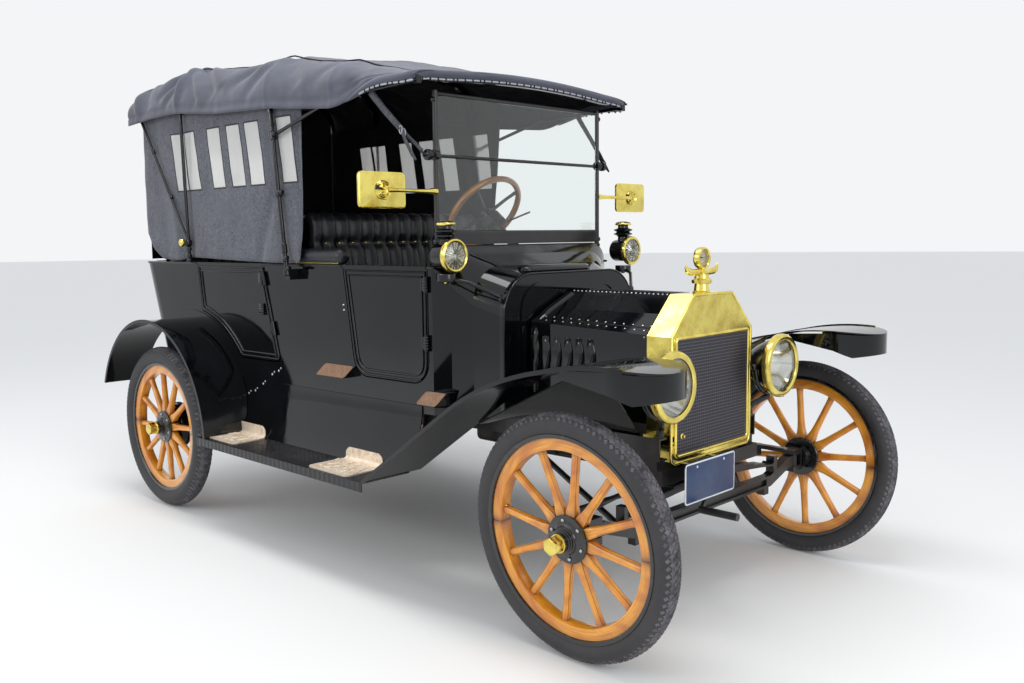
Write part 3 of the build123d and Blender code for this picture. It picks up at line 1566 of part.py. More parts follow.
# Number plate on two straps from the front cross member
plate_x = front_x + 95
with BuildPart() as number_plate:
    with BuildSketch(across(plate_x)):
        with Locations((plate_y, plate_bottom + plate_height / 2)):
            RectangleRounded(plate_width, plate_height, 12)
    extrude(amount=3)
    strap_start = front_x + cross_width / 2 + seat_gap
    for offset_y in (-80, 80):
        with Locations(((plate_x + strap_start) / 2, plate_y + offset_y, front_cross_top - 20)):
            Box(plate_x - strap_start, 22, 5)
finish(number_plate.part, "number_plate")

# Starting crank: shaft through the cross member, throw and grip
with BuildPart() as crank_handle:
    shaft_end = front_x + cross_width / 2 + 34
    grip_y = -crank_throw * 0.6
    grip_z = crank_z - crank_throw * 0.8
    add(rod((engine_front + seat_gap, 0, crank_z), (shaft_end, 0, crank_z), 10))
    add(rod((shaft_end - 8, 0, crank_z), (shaft_end - 8, grip_y, grip_z), 9))
    add(rod((shaft_end - 16, grip_y, grip_z), (shaft_end + 130, grip_y, grip_z), 13))
finish(crank_handle.part, "crank_handle")
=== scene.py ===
from math import asin, atan2, cos, pi, radians, sin, sqrt

import bmesh
import bpy
from mathutils import Matrix, Vector, noise


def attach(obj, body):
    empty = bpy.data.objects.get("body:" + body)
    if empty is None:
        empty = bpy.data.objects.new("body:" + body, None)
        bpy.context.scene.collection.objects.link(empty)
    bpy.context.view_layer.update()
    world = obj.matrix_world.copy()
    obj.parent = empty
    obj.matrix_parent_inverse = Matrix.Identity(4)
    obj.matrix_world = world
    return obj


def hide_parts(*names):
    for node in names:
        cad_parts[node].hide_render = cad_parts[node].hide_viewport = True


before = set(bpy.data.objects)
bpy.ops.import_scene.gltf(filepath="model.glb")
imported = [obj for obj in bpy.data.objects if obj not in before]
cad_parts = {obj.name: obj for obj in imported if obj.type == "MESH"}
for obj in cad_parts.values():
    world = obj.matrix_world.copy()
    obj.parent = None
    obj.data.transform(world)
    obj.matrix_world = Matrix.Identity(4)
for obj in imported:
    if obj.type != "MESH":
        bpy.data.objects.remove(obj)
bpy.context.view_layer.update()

# --- Studio ---------------------------------------------------------------
# A plain pale floor under an even pale sky, one broad soft lamp overhead and two at the sides.
# The camera stands ahead of the car's right front corner, at a standing person's chest height.


def linear(code):
    """Linear colour of an sRGB hex value."""
    values = [int(code[i:i + 2], 16) / 255 for i in (1, 3, 5)]
    return (*[v / 12.92 if v <= 0.04045 else ((v + 0.055) / 1.055) ** 2.4 for v in values], 1)


def add_node(tree, kind, inputs, **settings):
    """Adds a node with its settings, and gives each input a value or a link."""
    new = tree.nodes.new("ShaderNode" + kind)
    for name, value in settings.items():
        setattr(new, name, value)
    for name, value in inputs.items():
        if isinstance(value, bpy.types.NodeSocket):
            tree.links.new(value, new.inputs[name])
        else:
            new.inputs[name].default_value = value
    return new


def new_material(name, **values):
    """A material with a Principled shader, its constant values set on the sockets."""
    material = bpy.data.materials.new(name)
    material.use_nodes = True
    shader = material.node_tree.nodes["Principled BSDF"]
    for key, value in values.items():
        shader.inputs[key.replace("_", " ").title().replace("Ior", "IOR")].default_value = value
    return material, material.node_tree, shader


def feed(shader, **outputs):
    """Links outputs to a shader's inputs."""
    for name, output in outputs.items():
        shader.id_data.links.new(output, shader.inputs[name.replace("_", " ").title()])


mm = 0.001
scene = bpy.context.scene
scene.view_settings.view_transform = "Standard"

floor_paper, tree, shader = new_material("pale_studio_floor", roughness=0.9, base_color=linear("#EEEEEC"))
place = add_node(tree, "TexCoord", {}).outputs["Object"]
grain = add_node(tree, "TexNoise", {"Vector": place, "Scale": 0.33, "Detail": 3})
relief = add_node(tree, "Bump", {"Strength": 0.05, "Distance": 2 * mm, "Height": grain.outputs[0]})
feed(shader, normal=relief.outputs[0])
ground = bmesh.new()
bmesh.ops.create_circle(ground, cap_ends=True, segments=64, radius=60)
mesh = bpy.data.meshes.new("studio_floor")
ground.to_mesh(mesh)
ground.free()
mesh.materials.append(floor_paper)
floor = bpy.data.objects.new("studio_floor", mesh)
scene.collection.objects.link(floor)

sky = bpy.data.worlds.new("studio_sky")
scene.world = sky
sky.use_nodes = True
tree = sky.node_tree
tree.nodes.clear()
path = add_node(tree, "LightPath", {}).outputs
seen = add_node(tree, "Math", {0: path["Is Camera Ray"], 1: path["Is Glossy Ray"]}, operation="MAXIMUM")
shown = add_node(tree, "Math", {0: seen.outputs[0], 1: path["Is Transmission Ray"]}, operation="MAXIMUM")
light = add_node(tree, "Background", {"Color": linear("#EEF1F6"), "Strength": 0.95})
backdrop = add_node(tree, "Background", {"Color": linear("#F4F5F7"), "Strength": 1})
mixed = add_node(tree, "MixShader", {0: shown.outputs[0], 1: light.outputs[0], 2: backdrop.outputs[0]})
add_node(tree, "OutputWorld", {"Surface": mixed.outputs[0]})

lamps = (
    # name, place, target, power in watts, width, height
    ("lamp_overhead", (0.2, -0.9, 4.8), (0.1, -0.1, 0.9), 95, 4.4, 1.2),
    ("lamp_front", (5.5, -1.2, 2.6), (0.8, 0, 0.8), 50, 2.4, 2.0),
    ("lamp_side", (-1.6, -5.4, 3.0), (-0.4, 0, 0.9), 60, 4.4, 0.9),
)
for name, place, target, power, width, height in lamps:
    data = bpy.data.lights.new(name, "AREA")
    data.shape = "RECTANGLE"
    data.energy, data.size, data.size_y = power, width, height
    lamp = bpy.data.objects.new(name, data)
    lamp.location = place
    lamp.rotation_euler = (Vector(target) - Vector(place)).to_track_quat("-Z", "Y").to_euler()
    scene.collection.objects.link(lamp)

yaw, pitch, roll = radians(134.196), radians(-6.317), radians(-0.616)
camera_place = Vector((3.1421, -2.8119, 1.2716))
ahead = Vector((cos(pitch) * cos(yaw), cos(pitch) * sin(yaw), sin(pitch)))
right = ahead.cross(Vector((0, 0, 1))).normalized()
up = right.cross(ahead)
right, up = right * cos(roll) + up * sin(roll), up * cos(roll) - right * sin(roll)
camera_data = bpy.data.cameras.new("photo_camera")
camera_data.sensor_width, camera_data.lens = 36, 33.84
camera = bpy.data.objects.new("photo_camera", camera_data)
camera.matrix_world = Matrix.Translation(camera_place) @ Matrix((right, up, -ahead)).transposed().to_4x4()
scene.collection.objects.link(camera)
scene.camera = camera

# --- Coachwork ------------------------------------------------------------
# Pressed and hand-beaten sheet steel for the body, doors, cowl, hood and fenders. It is brush-painted
# in several coats of black enamel and polished, so it mirrors the sky with soft, slightly wavy edges.


def weathered(name, fresh, worn, grain, spread=None, gloss=None, relief=None, **constants):
    """Finish that goes from a fresh to a worn colour with noise in object space. The noise has a grain
    of (scale per metre, detail, roughness); spread stretches a part of it over the colours, gloss
    carries one range of it to another for the roughness, and relief is (strength, depth in mm) of the
    same noise, or of a second one if its scale and detail follow."""
    material, tree, shader = new_material(name, **constants)
    place = add_node(tree, "TexCoord", {}).outputs["Object"]
    keys = ("Scale", "Detail", "Roughness")
    cloud = add_node(tree, "TexNoise", {"Vector": place, **dict(zip(keys, grain))}).outputs[0]
    share = cloud
    if spread:
        share = add_node(tree, "MapRange",
                         {"Value": cloud, "From Min": spread[0], "From Max": spread[1]}).outputs[0]
    mixed = add_node(tree, "Mix", {0: share, 6: linear(fresh), 7: linear(worn)}, data_type="RGBA")
    feed(shader, base_color=mixed.outputs[2])
    if gloss:
        ends = dict(zip(("From Min", "From Max", "To Min", "To Max"), gloss))
        feed(shader, roughness=add_node(tree, "MapRange", {"Value": cloud, **ends}).outputs[0])
    if relief:
        strength, depth, *second = relief
        if second:
            cloud = add_node(tree, "TexNoise", {"Vector": place, **dict(zip(keys, second))}).outputs[0]
        raised = add_node(tree, "Bump", {"Strength": strength, "Distance": depth * mm, "Height": cloud})
        feed(shader, normal=raised.outputs[0])
    return material


def opened(material):
    """The node tree of a material, its shader and its object coordinates."""
    nodes = material.node_tree.nodes
    return material.node_tree, nodes["Principled BSDF"], nodes["Texture Coordinate"].outputs["Object"]


def paint(names, material):
    """Gives CAD nodes their finish."""
    for name in names:
        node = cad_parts[name]
        node.data.materials.clear()
        node.data.materials.append(material)


# Gloss black enamel: paint resin over black, IOR about 1.5, polished, with brush waves 60-150 mm long
coach_enamel = weathered("gloss_black_coach_enamel", "#050608", "#0C0E12", (5, 6, 0.62), (0.45, 0.75),
                         (0.3, 0.8, 0.04, 0.13), (0.35, 1.2, 9, 1.5), ior=1.5)
paint(["body_front", "body_rear", "door_front_right", "door_rear_right", "door_rear_left", "cowl", "firewall",
       "hood_right", "hood_left", "front_fenders", "rear_fenders", "splash_aprons"], coach_enamel)

# --- Running gear ---------------------------------------------------------
# Forged and pressed steel: frame rails, axles, cross springs, rods and column, all dipped in black
# chassis paint. It is duller than the body and carries road dust in its hollows.
chassis_paint = weathered("satin_black_chassis_paint", "#0C0D0F", "#332E28", (14, 6, 0.6), (0.5, 0.8),
                          (0.3, 0.8, 0.28, 0.6), (0.25, 0.5, 220, 3), ior=1.5, coat_weight=0.25,
                          coat_roughness=0.2)
paint(["frame", "front_axle", "rear_axle", "leaf_springs", "knuckle_right", "knuckle_left", "tie_rod",
       "drag_link",
       "steering_column", "steering_shaft", "crank_handle", "body_floor", "seat_frames", "windscreen_frame"],
      chassis_paint)

# --- Engine and exhaust ---------------------------------------------------
# Grey cast iron block and gearbox, bare of paint and stained with oil; rolled sheet steel pipe and
# muffler with a brown skin of heat and rust.
cast_iron = weathered("oily_grey_cast_iron", "#4A4846", "#201C19", (8, 6), (0.35, 0.7),
                      (0.3, 0.7, 0.62, 0.38),
                      (0.5, 0.8, 400, 2), metallic=0.85)
paint(["engine"], cast_iron)
burnt_steel = weathered("heat_browned_sheet_steel", "#4B4039", "#6A4029", (22, 8, 0.7), (0.35, 0.7),
                        (0.3, 0.7, 0.45, 0.8), metallic=0.7)
paint(["exhaust"], burnt_steel)

# --- Radiator shell and core ----------------------------------------------
# Pressed brass shell, polished by hand, round a black core of tubes and fins. Brass keeps a gold colour;
# its greenish cast is a painted reflection of green grass. Faint brown lies in corners where the polish never
# reaches.
polished_brass = weathered("hand_polished_brass", "#F0DE78", "#C4A84C", (16, 6, 0.65), (0.42, 0.78),
                           (0.3, 0.8, 0.1, 0.3), (0.2, 0.3, 60, 2), metallic=1)
paint(["radiator_shell"], polished_brass)

# Tubes and fins cross every 11-13 mm, drawn coarser than the real 2 mm so that they show
core_black, tree, shader = new_material("black_finned_radiator_core", metallic=0.3, roughness=0.42)
place = add_node(tree, "TexCoord", {}).outputs["Object"]
across = add_node(tree, "SeparateXYZ", {0: place}).outputs
upright = add_node(tree, "CombineXYZ", {0: across[1], 1: across[2]})
fins = add_node(tree, "TexBrick", {"Vector": upright.outputs[0], "Color1": linear("#0B0A10"),
                                   "Color2": linear("#14131A"), "Mortar": linear("#55535F"), "Scale": 1,
                                   "Mortar Size": 1.5 * mm, "Brick Width": 13 * mm, "Row Height": 11 * mm},
                offset=0)
relief = add_node(tree, "Bump", {"Strength": 1, "Distance": 2 * mm, "Height": fins.outputs["Fac"]})
feed(shader, base_color=fins.outputs[0], normal=relief.outputs[0])
paint(["radiator_core"], core_black)

# --- Windscreen glass -----------------------------------------------------
# Two flat panes of plate glass in a black steel frame; the upper pane folds down over the lower.
plate_glass = new_material("clear_plate_glass", transmission_weight=1, ior=1.52, roughness=0.01,
                           base_color=linear("#F2F8F6"))[0]
paint(["windscreen_glass"], plate_glass)

# --- Tyres ----------------------------------------------------------------
# Moulded rubber tyres on clincher rims: smooth bulging sidewalls, small diamond blocks on the front
# tread and cross ribs on the rear. Grey road dust sits on the tread and fades down the shoulders.
wheel_radius, half_track = 381, 711
tyre_widths = {"front": 76, "rear": 89}
front_x, front_z, rear_x, camber = 1335.5, 380.16, -1204.5, radians(4)


def spin_outline(bm, points, steps=96, slot=0):
    """Turns an outline of (radius, distance out) in mm about the wheel's axis, which is Y."""
    before = set(bm.faces)
    ring = [bm.verts.new((r * mm, out * mm, 0)) for r, out in points]
    edges = [bm.edges.new(pair) for pair in zip(ring, ring[1:] + ring[:1])]
    bmesh.ops.spin(bm, geom=ring + edges, cent=(0, 0, 0), axis=(0, 1, 0), angle=2 * pi, steps=steps,
                   use_merge=True)
    bmesh.ops.remove_doubles(bm, verts=bm.verts, dist=1e-6)
    for face in set(bm.faces) - before:
        face.material_index = slot


def recolour(verts, slot):
    """Gives the faces at some vertices a material slot."""
    for face in {face for vert in verts for face in vert.link_faces}:
        face.material_index = slot


def make_piece(name, bm, materials, body, sharp=40, stands_for=None, rounding=0):
    """Finished object from a mesh: outward faces, smooth shading with sharp edges, riding on its body.
    It can stand for a CAD node, and be rounded by subdivision."""
    bmesh.ops.remove_doubles(bm, verts=bm.verts, dist=1e-6)
    bmesh.ops.recalc_face_normals(bm, faces=bm.faces)
    data = bpy.data.meshes.new(name)
    bm.to_mesh(data)
    bm.free()
    for material in materials:
        data.materials.append(material)
    data.polygons.foreach_set("use_smooth", [True] * len(data.polygons))
    data.set_sharp_from_angle(angle=radians(sharp))
    piece = bpy.data.objects.new(name, data)
    scene.collection.objects.link(piece)
    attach(piece, body)
    if stands_for:
        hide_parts(stands_for)
    if rounding:
        rounded_off = piece.modifiers.new("roundness", "SUBSURF")
        rounded_off.levels = rounded_off.render_levels = rounding
    return piece


def put_on_wheel(bm, axle, side):
    """Carries a mesh that lies on the Y axis, its face outwards, to its wheel's place on the car."""
    x, z, lean = (front_x, front_z, camber) if axle == "front" else (rear_x, wheel_radius, 0)
    turned = Matrix.Rotation(-side * lean, 4, "X") @ Matrix.Diagonal((1, side, 1, 1))
    place = Matrix.Translation(Vector((x, side * half_track, z)) * mm)
    bmesh.ops.transform(bm, matrix=place @ turned, verts=bm.verts)


sides = (("right", -1), ("left", 1))
wheels = [(axle, name, side) for axle in ("front", "rear") for name, side in sides]

# Sulphur-cured rubber with carbon black: dull, IOR 1.52, slightly brown where the sun has bleached it
tyre_rubber = weathered("dull_black_tyre_rubber", "#27272A", "#3D3C3D", (7, 7, 0.65), (0.35, 0.75),
                        (0.3, 0.8, 0.55, 0.8), (0.3, 0.3, 500, 2), ior=1.52)
dusty_rubber = weathered("dusty_tread_rubber", "#37363A", "#777377", (30, 7, 0.7), (0.35, 0.7),
                         relief=(0.4, 1), ior=1.5, roughness=0.9)

tread_height = 2.2
for axle, name, side in wheels:
    section = tyre_widths[axle] / 2
    middle = wheel_radius - section
    tyre = bmesh.new()
    outline = [(middle + (section - tread_height) * cos(radians(a)), (section - 0.6) * sin(radians(a)))
               for a in range(-132, 133, 12)]
    foot = middle - section + 13
    spin_outline(tyre, outline + [(foot, 27), (foot, -27)], steps=120)
    for face in tyre.faces:
        centre = face.calc_center_median()
        if sqrt(centre.x ** 2 + centre.z ** 2) > (middle + 0.72 * section) * mm:
            face.material_index = 1
    # Each row: angle round the section, blocks round the wheel, size along, across, turn
    if axle == "front":
        rows = [(a, 104, 12, 9.5, 45 + 8 * sin(a)) for a in (-52, -34, -17, 0, 17, 34, 52)]
    else:
        rows = [(a, 96, 9, 17, 20 * (a > 0) - 20 * (a < 0)) for a in (-46, -27, -9, 9, 27, 46)]
    for row, (angle, count, along, across, turn) in enumerate(rows):
        height = tread_height * cos(radians(angle) * 0.8)
        for index in range(count):
            around = 2 * pi * (index + 0.5 * (row % 2)) / count
            matrix = (Matrix.Rotation(around, 4, "Y") @ Matrix.Translation((middle * mm, 0, 0))
                      @ Matrix.Rotation(radians(angle), 4, "Z")
                      @ Matrix.Translation(((section - tread_height + height / 2 - 0.4) * mm, 0, 0))
                      @ Matrix.Rotation(radians(turn), 4, "X")
                      @ Matrix.Diagonal((height * mm, across * mm, along * mm, 1)))
            recolour(bmesh.ops.create_cube(tyre, size=1, matrix=matrix)["verts"], 1)
    put_on_wheel(tyre, axle, side)
    make_piece(f"tyre_{axle}_{name}_treaded", tyre, [tyre_rubber, dusty_rubber], f"{axle}_{name}_wheel",
               stands_for=f"tyre_{axle}_{name}")

# --- Wheel woodwork and rims ----------------------------------------------
# Hickory spokes mitred together round the hub and tenoned into a felloe bent in two halves, varnished
# a deep golden orange with fine black lines. A rolled steel rim, enamelled black, is shrunk on it.
varnished_wood, tree, shader = new_material("varnished_hickory", ior=1.5, coat_weight=0.85,
                                            coat_roughness=0.06)
grain = add_node(tree, "Attribute", {}, attribute_name="grain").outputs["Vector"]
marks = add_node(tree, "Attribute", {}, attribute_name="marks").outputs["Vector"]
stripe, stain, line = add_node(tree, "SeparateXYZ", {0: marks}).outputs
# Growth rings show as streaks 2-3 mm wide and a hand long
along = add_node(tree, "Mapping", {"Vector": grain, "Scale": (9, 260, 260)}).outputs[0]
streaks = add_node(tree, "TexNoise", {"Vector": along, "Scale": 1, "Detail": 5, "Roughness": 0.6}).outputs[0]
clouds = add_node(tree, "TexNoise", {"Vector": grain, "Scale": 14, "Detail": 4}).outputs[0]
streaked = add_node(tree, "MapRange", {"Value": streaks, "From Min": 0.35, "From Max": 0.7}).outputs[0]
clouded = add_node(tree, "MapRange", {"Value": clouds, "From Min": 0.42, "From Max": 0.75}).outputs[0]
edge = add_node(tree, "Math", {0: stripe, 1: 0.98, 2: 0.045}, operation="COMPARE").outputs[0]
colour = linear("#F4AA2C")
for share, shade in ((streaked, "#D07C1A"), (clouded, "#B9600F"), (stain, "#5B2410"), (line, "#0E0A08"),
                     (edge, "#17100C")):
    colour = add_node(tree, "Mix", {0: share, 6: colour, 7: linear(shade)}, data_type="RGBA").outputs[2]
dulled = add_node(tree, "MapRange",
                  {"Value": streaks, "From Min": 0.3, "From Max": 0.7, "To Min": 0.28, "To Max": 0.42})
relief = add_node(tree, "Bump", {"Strength": 0.35, "Distance": 0.4 * mm, "Height": streaks})
feed(shader, base_color=colour, roughness=dulled.outputs[0], normal=relief.outputs[0])

# Rolled steel under gloss black enamel, chipped here and there
rim_enamel = weathered("gloss_black_rim_enamel", "#08080A", "#2A2B2E", (40, 6), (0.6, 0.75),
                       (0.3, 0.8, 0.12, 0.4),
                       ior=1.5, coat_weight=0.6, coat_roughness=0.05)

felloe_depth, felloe_half, rim_well = 36, 22, 12
spoke_rings = (
    # distance from the axis, half-width, half-thickness, squareness
    (36, 9.3, 14.5, 9.0),
    (70, 18.4, 14.5, 9.0),
    (86, 18.6, 14.5, 6.0),
    (97, 16.6, 14.4, 4.0),
    (112, 14.6, 14.2, 2.8),
    (140, 13.4, 13.8, 2.3),
    (190, 12.8, 13.2, 2.1),
    (236, 12.4, 12.8, 2.1),
    (256, 13.0, 13.4, 2.1),
    (272, 14.6, 15.0, 2.1),
)
spoke_turns = {("front", "right"): -8, ("front", "left"): 6, ("rear", "right"): 4, ("rear", "left"): 11}
for axle, name, side in wheels:
    rim_outer = wheel_radius - tyre_widths[axle] + 11.7
    felloe_outer = rim_outer - rim_well
    felloe_inner = felloe_outer - felloe_depth
    wood = bmesh.new()
    grain_layer = wood.verts.layers.float_vector.new("grain")
    marks_layer = wood.verts.layers.float_vector.new("marks")
    # The felloe's two halves meet at a gap too fine to see
    for half in (0, 1):
        outline = [(felloe_outer, felloe_half), (felloe_inner + 5, felloe_half),
                   (felloe_inner + 1.5, felloe_half - 1.5), (felloe_inner, felloe_half - 5),
                   (felloe_inner, 0)]
        outline += [(r, -out) for r, out in outline[-2::-1]]
        ring = [wood.verts.new(Vector((r, out, 0)) * mm) for r, out in outline]
        edges = [wood.edges.new(pair) for pair in zip(ring, ring[1:] + ring[:1])]
        bmesh.ops.rotate(wood, verts=ring, cent=(0, 0, 0), matrix=Matrix.Rotation(half * pi + 0.002, 3, "Y"))
        end = bmesh.ops.spin(wood, geom=ring + edges, cent=(0, 0, 0), axis=(0, 1, 0), angle=pi - 0.004,
                             steps=56)
        wood.faces.new(ring)
        last = [item for item in end["geom_last"] if isinstance(item, bmesh.types.BMEdge)]
        bmesh.ops.contextual_create(wood, geom=last)
    for vert in wood.verts:
        turn = atan2(vert.co.z, vert.co.x)
        radius = sqrt(vert.co.x ** 2 + vert.co.z ** 2)
        joint = min(abs(turn), abs(abs(turn) - pi))
        worn = 0.25 * (radius > (felloe_outer - 1) * mm)
        vert[grain_layer] = (abs(turn) * radius + (1 if turn > 0 else 0), radius, vert.co.y)
        vert[marks_layer] = (0, max(0, 1 - joint / 0.08) * 0.8 + worn, 0)
    for index in range(12):
        spoke, previous = [], None
        for reach, half_width, half_depth, power in spoke_rings:
            if reach > 200:
                reach += felloe_inner - 268.7
            ring = bmesh.ops.create_circle(wood, segments=20, radius=1)["verts"]
            for vert in ring:
                angle = atan2(vert.co.y, vert.co.x)
                wide = abs(cos(angle)) ** (2 / power) * (1 if cos(angle) > 0 else -1) * half_width
                deep = abs(sin(angle)) ** (2 / power) * (1 if sin(angle) > 0 else -1) * half_depth
                vert.co = Vector((reach, deep, wide)) * mm
                ends = max(0, 1 - (reach - 70) / 30) * 0.55 + max(0, 1 - (felloe_inner - reach) / 16) * 0.7
                vert[grain_layer] = (reach * mm + 0.37 * index, deep * mm, wide * mm)
                vert[marks_layer] = (abs(atan2(wide, deep)), min(0.8, ends), 0)
            edges = list({edge for vert in ring for edge in vert.link_edges})
            if previous:
                bmesh.ops.bridge_loops(wood, edges=previous + edges)
            spoke, previous = spoke + ring, edges
        turn = Matrix.Rotation(-radians(30 * index + spoke_turns[axle, name]), 4, "Y")
        bmesh.ops.transform(wood, matrix=turn, verts=spoke)
    put_on_wheel(wood, axle, side)
    make_piece(f"wheel_{axle}_{name}_wood", wood, [varnished_wood], f"{axle}_{name}_wheel",
               stands_for=f"wheel_{axle}_{name}")

    rim = bmesh.new()
    well, lip = rim_outer - rim_well, rim_outer + 3
    outline = [(well + 0.2, -24), (well + 0.2, 24), (well + 2, 28.5), (lip - 4, 30.5), (lip - 1, 30.2),
               (lip, 28.5),
               (lip - 1, 27), (lip - 4, 27.2), (well + 4, 25.5), (well + 2.6, 23)]
    spin_outline(rim, outline + [(r, -out) for r, out in outline[:1:-1]], steps=112)
    put_on_wheel(rim, axle, side)
    make_piece(f"wheel_{axle}_{name}_rim", rim, [rim_enamel], f"{axle}_{name}_wheel", sharp=30)

# --- Hubs -----------------------------------------------------------------
# Forged steel hubs, enamelled black: two flanges bolted through the spoke roots, stacked collars and a
# hexagonal brass grease cap screwed on. The rear hubs carry the pressed brake drums.
bright_steel = weathered("worn_bright_steel", "#D2D4D8", "#8E9096", (120, 4), gloss=(0.3, 0.7, 0.2, 0.45),
                         metallic=1)
brake_drum = [(38, -29), (98, -29), (98, -56.3), (100, -57), (102, -56.3), (102, -24), (100, -22.3)]
for axle, name, side in wheels:
    hub = bmesh.new()
    outline = [(0, 58), (0, 48.3), (20, 48.3), (20, -44), (38, -44)]
    outline += brake_drum if axle == "rear" else [(44, -22.3)]
    outline += [(72, -22.3), (74, -20.5), (74, -15.3), (35.7, -15.3), (35.7, 15.3), (74, 15.3), (74, 20.6),
                (72.4, 22.3), (47, 23.6), (43, 27), (41, 33), (37, 34.4), (37, 40), (33.6, 41.2),
                (33.6, 46.4),
                (30.5, 47.6), (30.5, 58)]
    spin_outline(hub, outline, steps=64)
    for index in range(6):
        bolt = (Matrix.Rotation(2 * pi * (index + 0.35) / 6, 4, "Y")
                @ Matrix.Translation(Vector((59, 24.6, 0)) * mm)
                @ Matrix.Diagonal((6 * mm, 4.4 * mm, 6 * mm, 1)))
        recolour(bmesh.ops.create_uvsphere(hub, u_segments=14, v_segments=8, radius=1, matrix=bolt)["verts"],
                 1)
    put_on_wheel(hub, axle, side)
    make_piece(f"hub_{axle}_{name}_bolted", hub, [rim_enamel, bright_steel], f"{axle}_{name}_wheel",
               stands_for=f"hub_{axle}_{name}")

    cap = bmesh.new()
    spin_outline(cap, [(0, 58), (29.5, 58), (29.5, 63), (27.5, 65), (0, 65)], steps=64)
    nut = bmesh.ops.create_cone(cap, cap_ends=True, segments=6, radius1=28.5 * mm, radius2=27.6 * mm,
                                depth=33 * mm,
                                matrix=Matrix.Translation((0, 81 * mm, 0))
                                @ Matrix.Rotation(-pi / 2, 4, "X"))["verts"]
    bmesh.ops.bevel(cap, geom=list({edge for vert in nut for edge in vert.link_edges}), affect="EDGES",
                    offset=2.2 * mm, segments=3, profile=0.5, material=-1)
    put_on_wheel(cap, axle, side)
    make_piece(f"hub_{axle}_{name}_cap", cap, [polished_brass], f"{axle}_{name}_wheel")

    # Valve stem, pointing to the hub beside a spoke
    stem = bmesh.new()
    spin_outline(stem, [(0, 0), (9, 0), (9, 3), (6, 6), (5, 20), (6.5, 21), (6.5, 27), (4.5, 28), (4.5, 36),
                        (6, 37),
                        (6, 43), (0, 44)], steps=20)
    felloe_inner = wheel_radius - tyre_widths[axle] - 36.3
    pointing = (Matrix.Rotation(-radians(178.5 + spoke_turns[axle, name]), 4, "Y")
                @ Matrix.Translation((felloe_inner * mm, 0, 0)) @ Matrix.Rotation(pi / 2, 4, "Z"))
    bmesh.ops.transform(stem, matrix=pointing, verts=stem.verts)
    put_on_wheel(stem, axle, side)
    make_piece(f"valve_{axle}_{name}", stem, [polished_brass], f"{axle}_{name}_wheel")

# --- Top canopy -----------------------------------------------------------
# One sheet of rubberised blue-grey canvas with a black lining, nailed over ash bows. It sags between
# the bows, strains in folds from the rear one, and is rolled over a cord and laced round the front.
roof_stations = (
    # x, fold of the valance, shoulder, crown; the last row is the rear edge, the others are bows
    (535.5, 1800, 1848, 1870),
    (35.5, 1822, 1955, 1985),
    (-419.5, 1829, 2030, 2056),
    (-1189.5, 1850, 2072, 2100),
    (-1611.5, 1857, 2045, 2075),
    (-1699.5, 1862, 1985, 2010),
)
valance_foot = (
    # x, height of the lower edge
    (-1699.5, 1838), (-1456.5, 1853), (-1209.5, 1855), (-821.5, 1819), (-428.5, 1804), (-165.5, 1778),
    (48.5, 1758), (132.5, 1773), (189.5, 1793), (262.5, 1824), (360.5, 1839), (457.5, 1834), (535.5, 1824),
)
canvas_folds = (
    # start x, height above the lower edge, end x, height, depth, width
    (-1189, 340, -1189, -20, 11, 26),
    (-1150, 330, -830, 50, -15, 34),
    (-1100, 350, -770, 90, 8, 34),
    (-1176, 230, -980, 20, -9, 24),
    (-1140, 210, -930, 10, 6, 22),
    (-450, 350, -800, 60, -13, 42),
    (-430, 220, -640, 20, -8, 30),
    (-480, 330, -560, 120, 6, 40),
    (-1205, 300, -1430, 60, -15, 30),
    (-1200, 210, -1340, 10, -9, 24),
    (-1225, 330, -1480, 150, 8, 30),
    (-1600, 250, -1470, 20, -10, 30),
    (-1640, 180, -1560, 0, 7, 22),
    (-400, 330, -170, 60, -8, 46),
    (35, 300, -130, 40, -6, 40),
    (60, 240, 180, 40, 5, 36),
    (430, 420, 500, 620, -3, 30),
)
roof_half, shoulder_y, fold_rise = 600, 450, 28
bows = sorted(row[0] for row in roof_stations[:5])


def follow(rows, x, column, reach=0):
    """A column of a table at x, between its rows and averaged over a reach to either side."""
    if reach:
        return sum(follow(rows, x + step * reach, column) for step in (-1, -0.5, 0, 0.5, 1)) / 5
    rows = sorted(rows)
    low, high = next(((a, b) for a, b in zip(rows, rows[1:]) if x <= b[0]), rows[-2:])
    share = min(1, max(0, (x - low[0]) / (high[0] - low[0])))
    return low[column] + (high[column] - low[column]) * share


def canvas_point(x, across):
    """Point of the taut canvas in mm, across from -1 at the right lower edge to 1 at the left one,
    with its height above the lower edge."""
    fold, shoulder, crown = (follow(roof_stations, x, column, 30) for column in (1, 2, 3))
    foot = follow(valance_foot, x, 1, 35)
    fold += fold_rise
    side, across = (1 if across > 0 else -1), abs(across)
    start = asin(min(1, max(0, (foot - fold) / (shoulder - fold))))
    drop = max(0, fold - foot)
    bend = 0.8 * (shoulder - fold + fold_rise + roof_half - shoulder_y) * (1 - start / (pi / 2))
    if across < 0.58:
        y = shoulder_y * across / 0.58
        height = shoulder + (crown - shoulder) * (1 - (y / shoulder_y) ** 2)
        return Vector((x, side * y, height)), drop + bend + shoulder_y - y
    up = (1 - across) / 0.42 * (drop + bend)
    if up < drop:
        return Vector((x, side * roof_half, foot + up)), up
    angle = start + (pi / 2 - start) * (up - drop) / bend
    y = shoulder_y + (roof_half - shoulder_y) * cos(angle)
    return Vector((x, side * y, fold + (shoulder - fold) * sin(angle))), up


def sagging(x):
    """Sag between the bows: 0 at a bow and deepest in the middle of the widest bay, where it is 1."""
    behind, ahead = next(((a, b) for a, b in zip(bows, bows[1:]) if x <= b), bows[-2:])
    share = min(1, max(0, (x - behind) / (ahead - behind)))
    return 4 * share * (1 - share) * (ahead - behind) / 770


